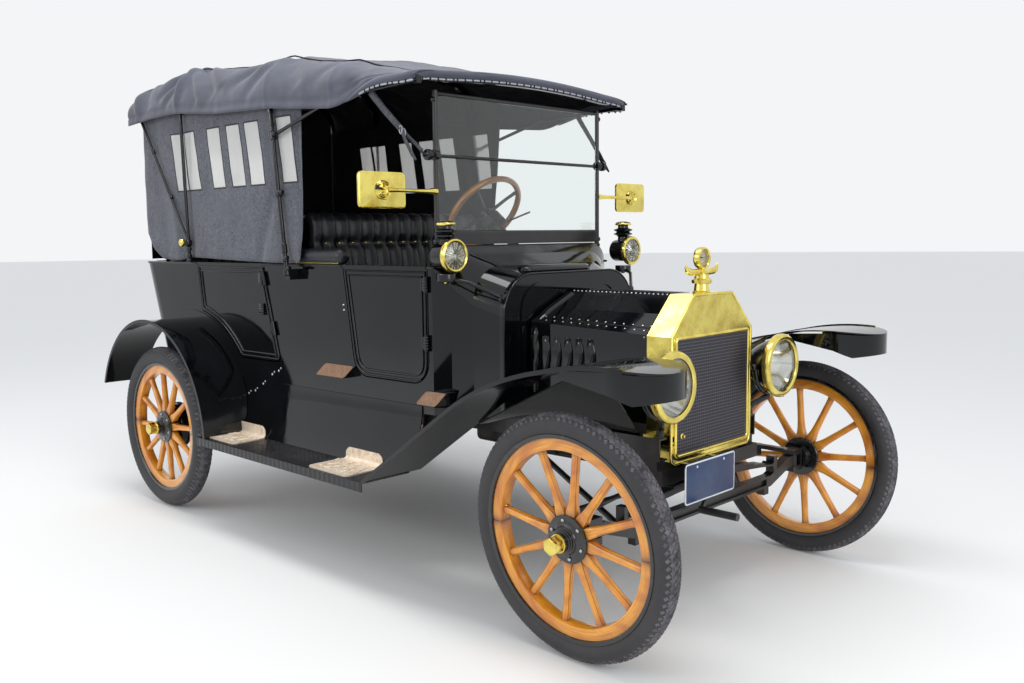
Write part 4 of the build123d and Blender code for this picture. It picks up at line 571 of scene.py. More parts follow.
def fold_depth(fold, x, z):
    """Depth of a fold at a point, and the share of the fold's length that lies before it."""
    x0, z0, x1, z1, depth, width = fold
    run, rise = x1 - x0, z1 - z0
    along = min(1, max(0, ((x - x0) * run + (z - z0) * rise) / (run ** 2 + rise ** 2)))
    away = sqrt((x - x0 - along * run) ** 2 + (z - z0 - along * rise) ** 2)
    return depth * 2 ** (-1.4 * (away / width) ** 2), along


def tube(bm, path, radius, sides=10, slot=0, flat=1, closed=False):
    """Round or flattened bar along a path in mm; radius is one value or one per point."""
    path, rings, before = [Vector(point) * mm for point in path], [], set(bm.faces)
    for index, point in enumerate(path):
        ahead = path[(index + 1) % len(path)] if closed or index + 1 < len(path) else point
        along = ahead - (path[index - 1] if closed or index else point)
        size = radius[index] if hasattr(radius, "__len__") else radius
        place = Matrix.Translation(point) @ along.to_track_quat("Z", "Y").to_matrix().to_4x4()
        verts = bmesh.ops.create_circle(bm, segments=sides, radius=size * mm,
                                        matrix=place @ Matrix.Diagonal((flat, 1, 1, 1)))["verts"]
        rings.append(list({edge for vert in verts for edge in vert.link_edges}))
    for first, second in zip(rings, rings[1:] + rings[:1] if closed else rings[1:]):
        bmesh.ops.bridge_loops(bm, edges=first + second)
    for ring in () if closed else (rings[0], rings[-1]):
        bmesh.ops.contextual_create(bm, geom=ring)
    for face in set(bm.faces) - before:
        face.material_index = slot


def ball(bm, centre, radii, slot=0, segments=8, rings=6, turn=Matrix()):
    """Ball or ellipsoid in mm, turned about its middle."""
    place = Matrix.Translation(Vector(centre) * mm) @ turn @ Matrix.Diagonal((*[value * mm for value in radii], 1))
    bmesh.ops.create_uvsphere(bm, u_segments=segments, v_segments=rings, radius=1, matrix=place)
    for face in bm.faces[-segments * rings:] if slot else ():
        face.material_index = slot


# Cotton duck, rubber-proofed, with threads 0.8 mm apart drawn at 3 mm so that they show; the sun has
# bleached it in clouds, and dirt has settled in the folds
top_canvas = weathered("rubber_proofed_blue_grey_canvas", "#262935", "#484C5B", (5, 7, 0.68), (0.36, 0.68),
                       (0.3, 0.7, 0.62, 0.85), ior=1.5, sheen_weight=0.25, sheen_roughness=0.5)
tree, shader, place = opened(top_canvas)
dyed = shader.inputs["Base Color"].links[0].from_socket
flecks = add_node(tree, "TexNoise", {"Vector": place, "Scale": 330, "Detail": 3, "Roughness": 0.7}).outputs[0]
fleck = add_node(tree, "MapRange", {"Value": flecks, "From Min": 0.35, "From Max": 0.7}).outputs[0]
speckled = add_node(tree, "Mix", {0: fleck, 6: dyed, 7: linear("#666B7C")}, data_type="RGBA").outputs[2]
toned = add_node(tree, "Mix", {0: 0.35, 6: dyed, 7: speckled}, data_type="RGBA")
threads = {}
for index, way in enumerate(("X", "DIAGONAL")):
    threads[index] = add_node(tree, "TexWave", {"Vector": place, "Scale": 52, "Distortion": 1.5, "Detail": 1},
                              bands_direction=way).outputs["Fac"]
woven = add_node(tree, "Math", threads, operation="MULTIPLY").outputs[0]
cockled = add_node(tree, "Math", {0: woven, 1: flecks}, operation="ADD").outputs[0]
relief = add_node(tree, "Bump", {"Strength": 0.5, "Distance": 0.8 * mm, "Height": cockled})
feed(shader, base_color=toned.outputs[2], normal=relief.outputs[0])
# Black cotton lining, dull and almost without light
top_lining = weathered("black_cotton_lining", "#101015", "#1E1D24", (300, 4), ior=1.5, roughness=0.95)

canopy = bmesh.new()
bmesh.ops.create_grid(canopy, x_segments=190, y_segments=150, size=1)
lifts = {}
for vert in canopy.verts:
    x = -582 + vert.co.x * 1117.5
    point, up = canvas_point(x, vert.co.y)
    lift = -sagging(x) * (16 * min(1, up / 260) + 4) + sum(2.5 * max(0, 1 - abs(x - bow) / 18)
                                                           for bow in bows)
    for fold in canvas_folds:
        depth, along = fold_depth(fold, x, up)
        lift += 1.7 * depth * sin(pi * min(1, 0.12 + along)) ** 0.5
    lift += 6 * noise.noise(point / 170) + 3 * noise.noise(point / 60)
    lifts[vert] = lift - 3.5 * 2 ** (-((up - 34) / 5) ** 2)
    vert.co = point * mm
canopy.normal_update()
bmesh.ops.recalc_face_normals(canopy, faces=canopy.faces)
canopy.normal_update()
outward = {vert: vert.normal.copy() for vert in canopy.verts}
for vert, lift in lifts.items():
    vert.co += outward[vert] * lift * mm
canopy_sheet = make_piece("top_canvas", canopy, [top_canvas, top_lining], "chassis", sharp=180,
                          stands_for="top_canopy")
wall = canopy_sheet.modifiers.new("cloth_thickness", "SOLIDIFY")
wall.thickness, wall.offset, wall.material_offset = 3 * mm, -1, 1

# The roll's x, share across and radius along the canvas's front edge
edge_run = [(130, -1, 3), (180, -1, 7), (230, -1, 12), (290, -1, 16), (350, -1, 18), (410, -1, 18),
            (455, -0.995, 18), (492, -0.97, 18), (515, -0.92, 18), (528, -0.84, 18), (532, -0.74, 18)]
edge_run += [(533, share / 10, 18) for share in range(-6, 1)]
edge_run += [(x, -across, size) for x, across, size in edge_run[-2::-1]]
roll_line = [canvas_point(x, across)[0] - Vector((size * 0.6 if abs(across) < 0.9 else 0, 0, size * 0.55))
             for x, across, size in edge_run]
roll = bmesh.new()
tube(roll, roll_line, [size for *_, size in edge_run], sides=18)
roll_piece = make_piece("top_front_roll", roll, [top_canvas], "chassis", rounding=2)

# Undyed cotton cord along the roll's foot, under dark waxed lacing every 34 mm
pale_cord = weathered("undyed_cotton_cord", "#C9CBD2", "#8D8F99", (60, 5), ior=1.5, roughness=0.85)
corners = []
for point, (x, across, size) in list(zip(roll_line, edge_run))[2:-2]:
    outwards = Vector((1, 0, 0)) if abs(across) < 0.9 else Vector((0.5 * (x > 430), 1 if across > 0 else -1,
                                                                   0))
    corners.append(point + outwards * size * 0.55 - Vector((0, 0, size * 0.92)))
cord_line = [first.lerp(second, step / 4) for first, second in zip(corners, corners[1:]) for step in range(4)]
lacing = bmesh.new()
tube(lacing, cord_line, 3.4, sides=8)
travelled = 0
for first, second in zip(cord_line, cord_line[1:]):
    travelled += (second - first).length
    if travelled > 34:
        travelled -= 34
        ball(lacing, first.lerp(second, 0.5), (5.2, 5.2, 9), slot=1)
make_piece("top_lacing", lacing, [pale_cord, top_lining], "chassis")

# Piping of black cord sewn into the seam between the deck and the side, ending at the front roll
piping = bmesh.new()
for side in (-1, 1):
    line = [canvas_point(x, side * 0.585)[0] for x in range(-1190, 521, 30)]
    line = [point + Vector((0, 0, 2 - 20 * sagging(point.x) + 5 * noise.noise(point / 170)
                            + 2.2 * noise.noise(point / 60))) for point in line]
    tube(piping, line, 3.2, sides=8)
make_piece("top_piping", piping, [top_lining], "chassis")

# --- Side and rear curtains -----------------------------------------------
# Grey denim-like cloth buttoned inside the irons, black within. Clear celluloid panes are sewn in under
# dark tape; the foot is cut loose, waves along the body rail and rises at the rear corner.
curtain_y, curtain_front, curtain_rear = 570.7, -212, -1616
curtain_foot_line = (
    # x, lower edge
    (-1618.5, 1306), (-1549.5, 1222), (-1469.5, 1172), (-1330, 1165), (-1270, 1166), (-1215, 1183),
    (-1100, 1181), (-860, 1174), (-560, 1166), (-330, 1165), (-199.5, 1172),
)
window_middles = (-327, -577, -732, -902, -1127, -1247)
curtain_folds = (
    # start x, z, end x, z, depth inwards, width
    (-1000, 1480, -640, 1250, 9, 40),
    (-430, 1480, -560, 1200, 8, 34),
    (-1240, 1800, -1225, 1200, 9, 40),
    (-1165, 1480, -1150, 1180, 7, 24),
    (-470, 1700, -360, 1180, 8, 26),
    (-250, 1760, -236, 1200, 10, 20),
    (-1330, 1450, -1290, 1180, -5, 30),
    (-1500, 1820, -1420, 1300, 6, 50),
    (-820, 1440, -800, 1180, -4, 60),
)

# Cotton denim with slubs 1 mm apart drawn at 3 mm, so that the weave shows; paler where it rubs
curtain_cloth = weathered("grey_denim_curtain_cloth", "#303239", "#42444C", (6, 6, 0.6), (0.35, 0.7), ior=1.5,
                          roughness=0.95, sheen_weight=0.2)
tree, shader, place = opened(curtain_cloth)
threads = {}
for index, scale in enumerate(((300, 300, 60), (70, 70, 420))):
    drawn_out = add_node(tree, "Mapping", {"Vector": place, "Scale": scale}).outputs[0]
    threads[index] = add_node(tree, "TexNoise",
                              {"Vector": drawn_out, "Scale": 1, "Detail": 3, "Roughness": 0.6}).outputs[0]
woven = add_node(tree, "Math", threads, operation="MULTIPLY").outputs[0]
pale = add_node(tree, "MapRange", {"Value": woven, "From Min": 0.14, "From Max": 0.38}).outputs[0]
dyed = shader.inputs["Base Color"].links[0].from_socket
denim = add_node(tree, "Mix", {0: pale, 6: dyed, 7: linear("#666972")}, data_type="RGBA")
relief = add_node(tree, "Bump", {"Strength": 0.6, "Distance": mm, "Height": woven})
feed(shader, base_color=denim.outputs[2], normal=relief.outputs[0])
# Doubled dark tape, stiff and a little shiny
window_tape = weathered("dark_window_tape", "#16171C", "#33343C", (260, 4), relief=(0.5, 1), ior=1.5,
                        roughness=0.7)
# Celluloid sheet, IOR 1.5, once clear: age has made it milky, and it cockles between its seams
celluloid, tree, shader = new_material("milky_celluloid_pane", ior=1.5, roughness=0.1,
                                       transmission_weight=0.58,
                                       base_color=linear("#FBFBF8"))
place = add_node(tree, "TexCoord", {}).outputs["Object"]
cockle = add_node(tree, "TexNoise", {"Vector": place, "Scale": 9, "Detail": 1}).outputs[0]
feed(shader,
     normal=add_node(tree, "Bump", {"Strength": 0.08, "Distance": 4 * mm, "Height": cockle}).outputs[0])


def grid_lines(low, high, edges, pitch):
    """Grid lines from low to high at about a pitch, with one on every edge."""
    marks = sorted({low, high, *[edge for edge in edges if low < edge < high]})
    return [a + (b - a) * step / n for a, b in zip(marks, marks[1:]) for n in [max(1, round((b - a) / pitch))]
            for step in range(n)] + [high]


def window_cloth(columns, rows, windows, tape):
    """Flat grid of cloth with panes; windows are (across, width, foot, head)."""
    bm = bmesh.new()
    bmesh.ops.create_grid(bm, x_segments=len(columns) - 1, y_segments=len(rows) - 1, size=1)
    for vert in bm.verts:
        vert.co.x = columns[round((vert.co.x + 1) / 2 * (len(columns) - 1))]
        vert.co.y = rows[round((vert.co.y + 1) / 2 * (len(rows) - 1))]
    for face in bm.faces:
        centre = face.calc_center_median()
        for across, width, foot, head in windows:
            beyond = max(abs(centre.x - across) - width / 2, foot - centre.y, centre.y - head)
            if beyond < tape:
                face.material_index = 2 if beyond < 0 else 1
    return bm


def hang(bm, name):
    """Finishes a curtain: cloth outside, lining inside, and its panes clear on both."""
    piece = make_piece(name, bm, [curtain_cloth, window_tape, celluloid, top_lining, top_lining, celluloid],
                       "chassis", sharp=180, stands_for="curtains")
    wall = piece.modifiers.new("cloth_thickness", "SOLIDIFY")
    wall.thickness, wall.offset, wall.material_offset = 1.6 * mm, -1, 3


window_edges = [middle + sign * half for middle in window_middles for sign in (-1, 1) for half in (52.5, 60)]
for name, side in sides:
    columns = grid_lines(curtain_rear, curtain_front, window_edges, 13)
    rows = grid_lines(1168, 1826, (1492.5, 1500, 1765, 1772.5), 13)
    cloth = window_cloth(columns, rows, [(middle, 105, 1500, 1765) for middle in window_middles], 7.5)
    for vert in cloth.verts:
        x, z, _ = vert.co
        near_end = min(1, (x - curtain_rear) / 160, (curtain_front - x) / 40)
        drawn_back = (20 + 24 * (1497 - z) / 329) * max(0, 1 - (curtain_front - x) / 150)
        x += -45 * min(0.5, max(-0.5, (z - 1632.5) / 265)) * near_end - drawn_back
        foot = follow(curtain_foot_line, x, 1, 14)
        if z < 1492.5:
            z = foot + (z - 1168) * (1492.5 - foot) / 324.5
        inwards = 7 + 4 * noise.noise(Vector((x / 130, z / 300, side)))
        inwards += 2 * noise.noise(Vector((x / 45, z / 90, side)))
        inwards += sum(fold_depth(fold, x, z)[0] for fold in curtain_folds)
        inwards += 5 * sin(x / 34) * max(0, 1 - (z - foot) / 90)
        if z > 1773:
            z += max(0, follow(valance_foot, x, 1) + 26 - 1826) * (z - 1773) / 53
        vert.co = Vector((x, side * (curtain_y - max(0, inwards)), z)) * mm
    hang(cloth, f"curtain_{name}")

panes = [(-130, 200, 1547.5, 1717.5), (130, 200, 1547.5, 1717.5)]
columns = grid_lines(-560, 560, [across + sign * half for across,
                                 *_ in panes for sign in (-1, 1) for half in (100, 108)], 16)
cloth = window_cloth(columns, grid_lines(1170, 1950, (1539.5, 1547.5, 1717.5, 1725.5), 16), panes, 8)
for vert in cloth.verts:
    y, z, _ = vert.co
    sway = 9 * noise.noise(Vector((y / 140, z / 260, 7))) + 3 * noise.noise(Vector((y / 50, z / 80, 3)))
    back = -1612 - 86 * (1 - (abs(y) / 560) ** 5) * (1 - 0.25 * max(0, (z - 1800) / 150))
    back += 1.8 * max(0, abs(y) - 549)
    # The head follows the canopy's inside, 16 mm below its outer face
    fold, shoulder, crown = (follow(roof_stations, back, column, 30) for column in (1, 2, 3))
    over = max(0, (abs(y) - shoulder_y) / (roof_half - shoulder_y))
    ceiling = shoulder + (crown - shoulder) * (1 - (y / shoulder_y) ** 2)
    if over:
        ceiling = fold + fold_rise + (shoulder - fold - fold_rise) * sqrt(1 - over ** 2)
    z += max(0, (z - 1850) / 100) * (ceiling - 16 - 1950)
    vert.co = Vector((back - max(-4, sway) * (abs(y) < 500), y, z)) * mm
hang(cloth, "curtain_rear")

# --- Seats ----------------------------------------------------------------
# Black buffed leather over horsehair: the backs are pleated and buttoned with brass nails, the seats
# are plain stuffed cushions, and rolled arms are nailed along their feet.


def skin_y(x, side, out=0):
    """Outer face of the body side at a distance along the car, in mm."""
    return side * (500 + (490.5 - x) / 2195 * 90 + out)


def box(bm, centre, size, turn=Matrix(), slot=0, bevel=0, segments=2, along=None):
    """Block in mm, turned about its middle; all its edges are bevelled, or those that run along one axis."""
    place = Matrix.Translation(Vector(centre) * mm) @ turn @ Matrix.Diagonal((*[value * mm for value in size], 1))
    verts = bmesh.ops.create_cube(bm, size=1, matrix=place)["verts"]
    recolour(verts, slot)
    if bevel:
        edges = [edge for edge in {edge for vert in verts for edge in vert.link_edges}
                 if along is None or abs(edge.verts[0].co[along] - edge.verts[1].co[along]) > mm]
        bmesh.ops.bevel(bm, geom=edges, affect="EDGES", offset=bevel * mm, segments=segments, profile=0.5,
                        material=-1)


hide = weathered("black_buffed_leather", "#0D0E13", "#22232B", (11, 6, 0.6), (0.4, 0.75),
                 (0.3, 0.7, 0.3, 0.46), ior=1.5)
# Pebbled grain about 1 mm across, drawn at 4 mm, with longer creases
tree, shader, place = opened(hide)
pebbles = add_node(tree, "TexVoronoi", {"Vector": place, "Scale": 260}, feature="DISTANCE_TO_EDGE").outputs[0]
creases = add_node(tree, "TexNoise", {"Vector": place, "Scale": 30, "Detail": 5, "Roughness": 0.7}).outputs[0]
grained = add_node(tree, "Math", {0: pebbles, 1: 0.6, 2: creases}, operation="MULTIPLY_ADD").outputs[0]
feed(shader,
     normal=add_node(tree, "Bump", {"Strength": 0.45, "Distance": 1.5 * mm, "Height": grained}).outputs[0])

backs = (
    # name, CAD node, half-width, height of the buttons, outline up the face, over the top and down the back
    ("front_seat_back", "front_backrest", 478, 1245, (
        (-255.5, 870), (-255.5, 990), (-291, 1300), (-297, 1340), (-308, 1362), (-328, 1374), (-350, 1370),
        (-372, 1350), (-392, 1300), (-414, 1180), (-414, 880))),
    ("rear_seat_back", "rear_backrest", 490, 1200, (
        (-1493.5, 870), (-1493.5, 990), (-1529, 1255), (-1536, 1290), (-1550, 1312), (-1572, 1319),
        (-1596, 1308), (-1603, 1250), (-1603, 880))),
)
pitch = 70
for name, node, half_width, row_z, profile in backs:
    line = [Vector((x, 0, z)) for x, z in profile]
    total = sum((b - a).length for a, b in zip(line, line[1:]))
    back = bmesh.new()
    bmesh.ops.create_grid(back, x_segments=round(2 * half_width / 6), y_segments=round(total / 7), size=1)
    for vert in back.verts:
        y, run = vert.co.x * half_width, (vert.co.y + 1) / 2 * total
        for first, second in zip(line, line[1:]):
            length = (second - first).length
            if run <= length or second is line[-1]:
                break
            run -= length
        along = (second - first).normalized()
        point = first + along * min(run, length)
        normal = Vector((along.z, 0, -along.x))
        share = (y / pitch) % 1
        seam, column = min(share, 1 - share), round(y / pitch) * pitch
        rise = point.z - row_z
        padded = min(1, (half_width - abs(y)) / 14)
        puff = (1 - (1 - min(1, seam / 0.34)) ** 2) * 13 - 11
        puff *= min(1, max(0.25, 1 - (rise - 60) / 130)) if rise > 60 else 1
        near = sqrt(((y - column) / 1.25) ** 2 + rise ** 2)
        puff -= 15 * 2 ** (-(near / 15) ** 2) + 5 * 2 ** (-(rise / 26) ** 2)
        puff += 6 * 2 ** (-((rise + 95) / 80) ** 2) + 4 * 2 ** (-((rise - 75) / 45) ** 2)
        out = (normal.x > -0.2) * puff - 20 * (1 - sqrt(1 - (1 - padded) ** 2))
        vert.co = (point + Vector((0, y, 0)) + normal * out) * mm
    bmesh.ops.holes_fill(back, edges=[edge for edge in back.edges if edge.is_boundary], sides=0)
    make_piece(name, back, [hide], "chassis", sharp=65, stands_for=node)

    nails = bmesh.new()
    face_x = follow([(z, x) for x, z in profile[:2]], row_z, 1)
    for step in range(-round(half_width / pitch) + 1, round(half_width / pitch)):
        ball(nails, (face_x - 21, step * pitch, row_z), (5, 5, 5), segments=12, rings=8)
    make_piece(f"{name}_nails", nails, [polished_brass], "chassis")

cushions = (
    # name, rear x, front x, half-width, bottom, top
    ("front_seat_cushion", -255, 129, 479, 860, 990),
    ("rear_seat_cushion", -1493, -1109, 532, 860, 990),
)
for name, rear, nose, half, bottom, top in cushions:
    pad = bmesh.new()
    box(pad, ((rear + nose) / 2, 0, (bottom + top) / 2 - 4),
        (nose - rear - 24, 2 * half - 24, top - bottom - 22),
        bevel=26, segments=4)
    piece = make_piece(name, pad, [hide], "chassis", sharp=180, stands_for="seat_cushions")
    remesh = piece.modifiers.new("even_mesh", "REMESH")
    remesh.mode, remesh.voxel_size, remesh.use_smooth_shade = "VOXEL", 0.006, True
    even = bpy.data.meshes.new_from_object(piece.evaluated_get(bpy.context.evaluated_depsgraph_get()))
    piece.modifiers.clear()
    piece.data = even
    before = [vert.co.copy() for vert in even.vertices]
    cloth = piece.modifiers.new("stuffing", "CLOTH")
    cloth.settings.use_pressure, cloth.settings.uniform_pressure_force = True, 4
    cloth.settings.effector_weights.gravity = 0
    for step in range(1, 21):
        scene.frame_set(step)
    blown = bpy.data.meshes.new_from_object(piece.evaluated_get(bpy.context.evaluated_depsgraph_get()))
    piece.modifiers.clear()
    scene.frame_set(1)
    piece.data = blown
    for vert, start in zip(blown.vertices, before):
        move = vert.co - start
        vert.co = start + move * min(1, 0.012 / max(move.length, 1e-6))
        vert.co.z = max(bottom * mm, vert.co.z)
    piece.data.polygons.foreach_set("use_smooth", [True] * len(piece.data.polygons))

    # Welted seam round the top of the cushion
    welt = bmesh.new()
    corner = 30
    loop = [(nose - 6 - corner + corner * cos(radians(a)), half - 6 - corner + corner * sin(radians(a)))
            for a in range(0, 91, 15)]
    loop += [(rear + nose - x, y) for x, y in loop[::-1]]
    loop += [(x, -y) for x, y in loop[::-1]]
    tube(welt, [(x, y, top - 22) for x, y in loop], 4, sides=8, closed=True)
    make_piece(f"{name}_welt", welt, [hide], "chassis")

# Rolled arms of the front seat, their hide drawn into pleats at the front and nailed below
arm_stations = ((-20, 5), (-22, 18), (-28, 26), (-38, 31), (-52, 32.5), (-80, 32), (-120, 32.4), (-170, 31.6),
                (-220, 32.4), (-270, 31.8), (-330, 32.2), (-378, 31))
for name, side in sides:
    arm = bmesh.new()
    tube(arm, [(x, skin_y(x, side, -15), 1192.3) for x, _ in arm_stations], [r for _, r in arm_stations],
         sides=28)
    for vert in arm.verts:
        vert.co.z += (2.2 * noise.noise(vert.co * 22) + 1.6 * noise.noise(vert.co * 60)) * mm
    make_piece(f"front_arm_{name}", arm, [hide], "chassis", sharp=180, rounding=1)
    nails = bmesh.new()
    for x in range(-370, -30, 17):
        ball(nails, (x, skin_y(x, side, 6), 1166), (3, 3, 3))
    make_piece(f"front_arm_{name}_nails", nails, [polished_brass], "chassis")

# --- Headlamps ------------------------------------------------------------
# Spun steel bowls in black enamel on forked posts, a silvered reflector within, a domed clear lens and
# a broad brass rim rolled over it with a clamp screw below.
lamp_glass, tree, shader = new_material("pressed_clear_lamp_glass", ior=1.5, transmission_weight=1,
                                        roughness=0.02,
                                        base_color=linear("#FBFCFA"))
place = add_node(tree, "TexCoord", {}).outputs["Object"]
seedy = add_node(tree, "TexNoise", {"Vector": place, "Scale": 25, "Detail": 1}).outputs[0]
feed(shader, normal=add_node(tree, "Bump", {"Strength": 0.04, "Distance": mm, "Height": seedy}).outputs[0])
silvered = weathered("silver_plated_reflector", "#F2F2F0", "#C9C8C2", (30, 5), gloss=(0.3, 0.7, 0.06, 0.2),
                     metallic=1)
lamp_enamel = weathered("gloss_black_lamp_enamel", "#060608", "#121317", (30, 5), gloss=(0.3, 0.7, 0.07, 0.2),
                        ior=1.5)


def turned(bm, outline, place, steps=48, slot=0):
    """Turns an outline of (radius, length along) in mm about its axis, which place's Y then follows."""
    before = set(bm.verts)
    spin_outline(bm, outline, steps=steps, slot=slot)
    bmesh.ops.transform(bm, matrix=place, verts=list(set(bm.verts) - before))


def facing(x, y, z, axis="X", along=1):
    """Matrix that lays a turned part's axis along the car's X, Y or Z at a point in mm."""
    turn = {"X": Matrix.Rotation(-pi / 2, 4, "Z"), "Y": Matrix(), "Z": Matrix.Rotation(pi / 2, 4, "X")}[axis]
    return Matrix.Translation(Vector((x, y, z)) * mm) @ turn @ Matrix.Diagonal((1, along, 1, 1))


lamp_face, lamp_z = 1450.5, 793
for name, side in sides:
    lamp = bmesh.new()
    lamp_y = side * 335
    at = facing(lamp_face, lamp_y, lamp_z)
    turned(lamp, [(0, -165), (14, -164), (40, -141), (70, -100), (90, -62), (99, -32), (108, -28), (108, -24),
                  (96, -26), (86, -60), (67, -97), (38, -136), (12, -158), (0, -159)], at)
    turned(lamp, [(0, -150), (34, -132), (62, -94), (82, -58), (94, -26), (97, -24), (97, -22), (92, -22),
                  (78, -60), (58, -96), (32, -128), (0, -144)], at, slot=1)
    turned(lamp,
           [(103, -30), (109, -31), (114, -27), (115, -18), (114.5, -9), (110, -3), (103, -0.5), (95, -2),
                  (92, -6), (96, -8), (103, -10), (105, -20)], at, slot=2, steps=72)
    turned(lamp,
           [(0, 2), (30, 1), (60, -2), (80, -5), (95, -8), (95, -11), (80, -8.5), (60, -5.5), (30, -2.5),
                  (0, -1.5)], at, slot=3)
    # Burner between the reflector and the lens, and the clamp screw
    turned(lamp, [(0, -140), (5, -140), (5, -105), (9, -100), (11, -88), (9, -76), (0, -72)], at, slot=3,
           steps=20)
    turned(lamp, [(0, -64), (7, -64), (9, -60), (9, 60), (0, 62)],
           facing(lamp_face - 16, lamp_y + side * 3, lamp_z - 112) @ Matrix.Scale(0.22, 4), slot=2, steps=16)
    fork = [(lamp_face - 60, lamp_y + 104 * cos(radians(a)), lamp_z + 104 * sin(radians(a)))
            for a in range(180, 361, 12)]
    tube(lamp, fork, 7, sides=12, flat=1.5)
    for tip, way in ((fork[0], -1), (fork[-1], 1)):
        turned(lamp, [(0, -14), (9, -14), (11, -11), (11, 8), (6, 14), (0, 15)], facing(*tip, "Y", way),
               steps=16)
    post = [(1342.5, side * 276, 616), (1344, side * 276, 636), (1352, side * 284, 650),
            (lamp_face - 66, side * 329, 676), (lamp_face - 60, lamp_y, 690)]
    tube(lamp, post, [15, 12, 11, 11, 12], sides=16)
    make_piece(f"headlamp_{name}", lamp, [lamp_enamel, silvered, polished_brass, lamp_glass], "chassis",
               stands_for="headlamps")

# --- Side lamps -----------------------------------------------------------
# Oil lamps of black japanned tin: drum, oil pot below, vented chimney above, and a domed glass in a
# brass bezel before a ringed reflector; a rod from each runs forward to the firewall.
for name, side in sides:
    lamp = bmesh.new()
    at, pot = facing(635.5, side * 512, 1200), facing(583.5, side * 512, 1200, "Z")
    turned(lamp, [(0, -96), (40, -96), (44, -92), (46, -84), (46, -24), (52, -20), (52, -14), (0, -14)], at)
    turned(lamp,
           [(46, -20), (56, -20), (61, -16), (62, -8), (60, -2), (54, 1), (49, -1), (48, -6), (48, -14)],
           at, slot=2, steps=64)
    turned(lamp, [(0, 7), (12, 6.4), (24, 4.8), (36, 2), (44, -0.6), (48, -2), (48, -6), (0, -6)], at, slot=3,
           steps=64)
    rings = [(3 * ring, -8.6 - 1.5 * (ring % 2)) for ring in range(16)]
    turned(lamp, rings + [(45.5, -13.6), (0, -13.6)], at, slot=1, steps=64)
    turned(lamp, [(0, -63), (33, -63), (34, -66), (34, -91), (30, -93), (0, -93)], pot, steps=40)
    turned(lamp, [(0, 36), (24, 40), (22, 58), (31, 66), (39, 68), (40, 73), (31, 76), (28, 80), (39, 85),
                  (40, 90), (30, 94), (23, 96), (22, 106), (31, 108), (34, 114), (30, 120), (14, 124),
                  (0, 124)],
           pot, steps=40)
    turned(lamp, [(33.5, 108), (35.5, 111), (35.5, 114), (33.5, 117)], pot, slot=2, steps=40)
    turned(lamp, [(0, -98), (8, -98), (11, -94), (11, -91), (0, -91)], pot, slot=2, steps=20)
    tube(lamp, [(583.5, side * 512, 1122), (655.5, side * 470, 1106), (731.5, side * 375, 1045)], 7, sides=12)
    turned(lamp, [(0, -10), (13, -10), (14, -7), (14, 5), (0, 8)], facing(728, side * 376, 1045), steps=20)
    make_piece(f"side_lamp_{name}", lamp, [lamp_enamel, silvered, polished_brass, lamp_glass], "chassis",
               stands_for="side_lamps")

# --- Radiator trim --------------------------------------------------------
# A brass bead is rolled round the core's opening, with a brass drain tap at the core's foot. Brass
# strips fold back from the shell under the hood's front corners.
radiator_x = 1364.5
trim = bmesh.new()
line = []
for first, y, z in ((270, -209, 555), (180, -209, 917), (90, 209, 917), (0, 209, 555)):
    line += [(radiator_x + 0.5, y + 14 * cos(radians(first - a)), z + 14 * sin(radians(first - a)))
             for a in range(0, 91, 15)]
tube(trim, line, 6.5, sides=14, closed=True)
outline = [(-225, 518), (-238, 527), (-243.5, 544), (-243.5, 937), (-114, 1066.5)]
outline += [(-y, z) for y, z in outline[::-1]]
tube(trim, [(radiator_x - 2, y, z) for y, z in outline], 5.5, sides=12, closed=True)
turned(trim, [(0, -12), (9, -12), (9, 3), (5, 4), (5, 12), (0, 13)], facing(radiator_x, -186, 606), steps=20)
for side in (-1, 1):
    box(trim, (radiator_x - 56, side * 226, 583), (112, 36, 14), bevel=4)
    # The shell's face runs on down beside the core's foot
    box(trim, (radiator_x - 3, side * 222, 566), (6, 40, 90))
box(trim, (radiator_x + 0.5, 0, 736), (3, 444, 390), slot=1)
make_piece("radiator_trim", trim, [polished_brass, core_black], "chassis")

# --- Radiator cap ---------------------------------------------------------
# Cast brass cap with horned wings for the hand, and a round thermometer standing on it: a white dial
# under glass in a turned ring. Its marks are plain ticks.
dial_white = weathered("white_enamel_dial", "#F1EEDD", "#CFC8A8", (90, 4), ior=1.5)
cap_x, cap_z = 1315, 1106.3
cap = bmesh.new()
turned(cap, [(0, -40), (30, -40), (32, -34), (27, -30), (24, -8), (34, -5), (35, 6), (26, 12), (22, 26),
             (25, 30),
             (18, 36), (12, 42), (11, 46), (0, 46)], facing(cap_x, 0, cap_z, "Z"))
horn = ((0, 34, 13), (20, 33, 12.5), (48, 33, 11), (72, 35, 12), (86, 40, 11), (94, 50, 7), (97, 60, 3))
for side in (-1, 1):
    tube(cap, [(cap_x, side * y, cap_z + z) for y, z, _ in horn], [r for *_, r in horn], sides=16, flat=0.7)
dial = facing(cap_x, 0, cap_z + 80)
turned(cap, [(30, -13), (36, -12), (38, -6), (38, 6), (36, 12), (31, 13), (28, 9), (28, -9)], dial, steps=56)
turned(cap, [(0, -10), (30, -10), (30, -6), (0, -6)], dial, slot=1, steps=40)
turned(cap, [(0, 6.5), (28, 6.5), (28, 8.5), (0, 10)], dial, slot=2, steps=40)
for tick in range(-4, 5):
    mark = (dial @ Matrix.Rotation(radians(90 - 24 * tick), 4, "Y")
            @ Matrix.Translation((22 * mm, -5.5 * mm, 0))
            @ Matrix.Diagonal((7 * mm, 1.2 * mm, 1.4 * mm, 1)))
    bmesh.ops.create_cube(cap, size=1, matrix=mark)
    for face in cap.faces[-6:]:
        face.material_index = 3
make_piece("radiator_cap_cast", cap, [polished_brass, dial_white, lamp_glass, lamp_enamel], "chassis",
           stands_for="radiator_cap")
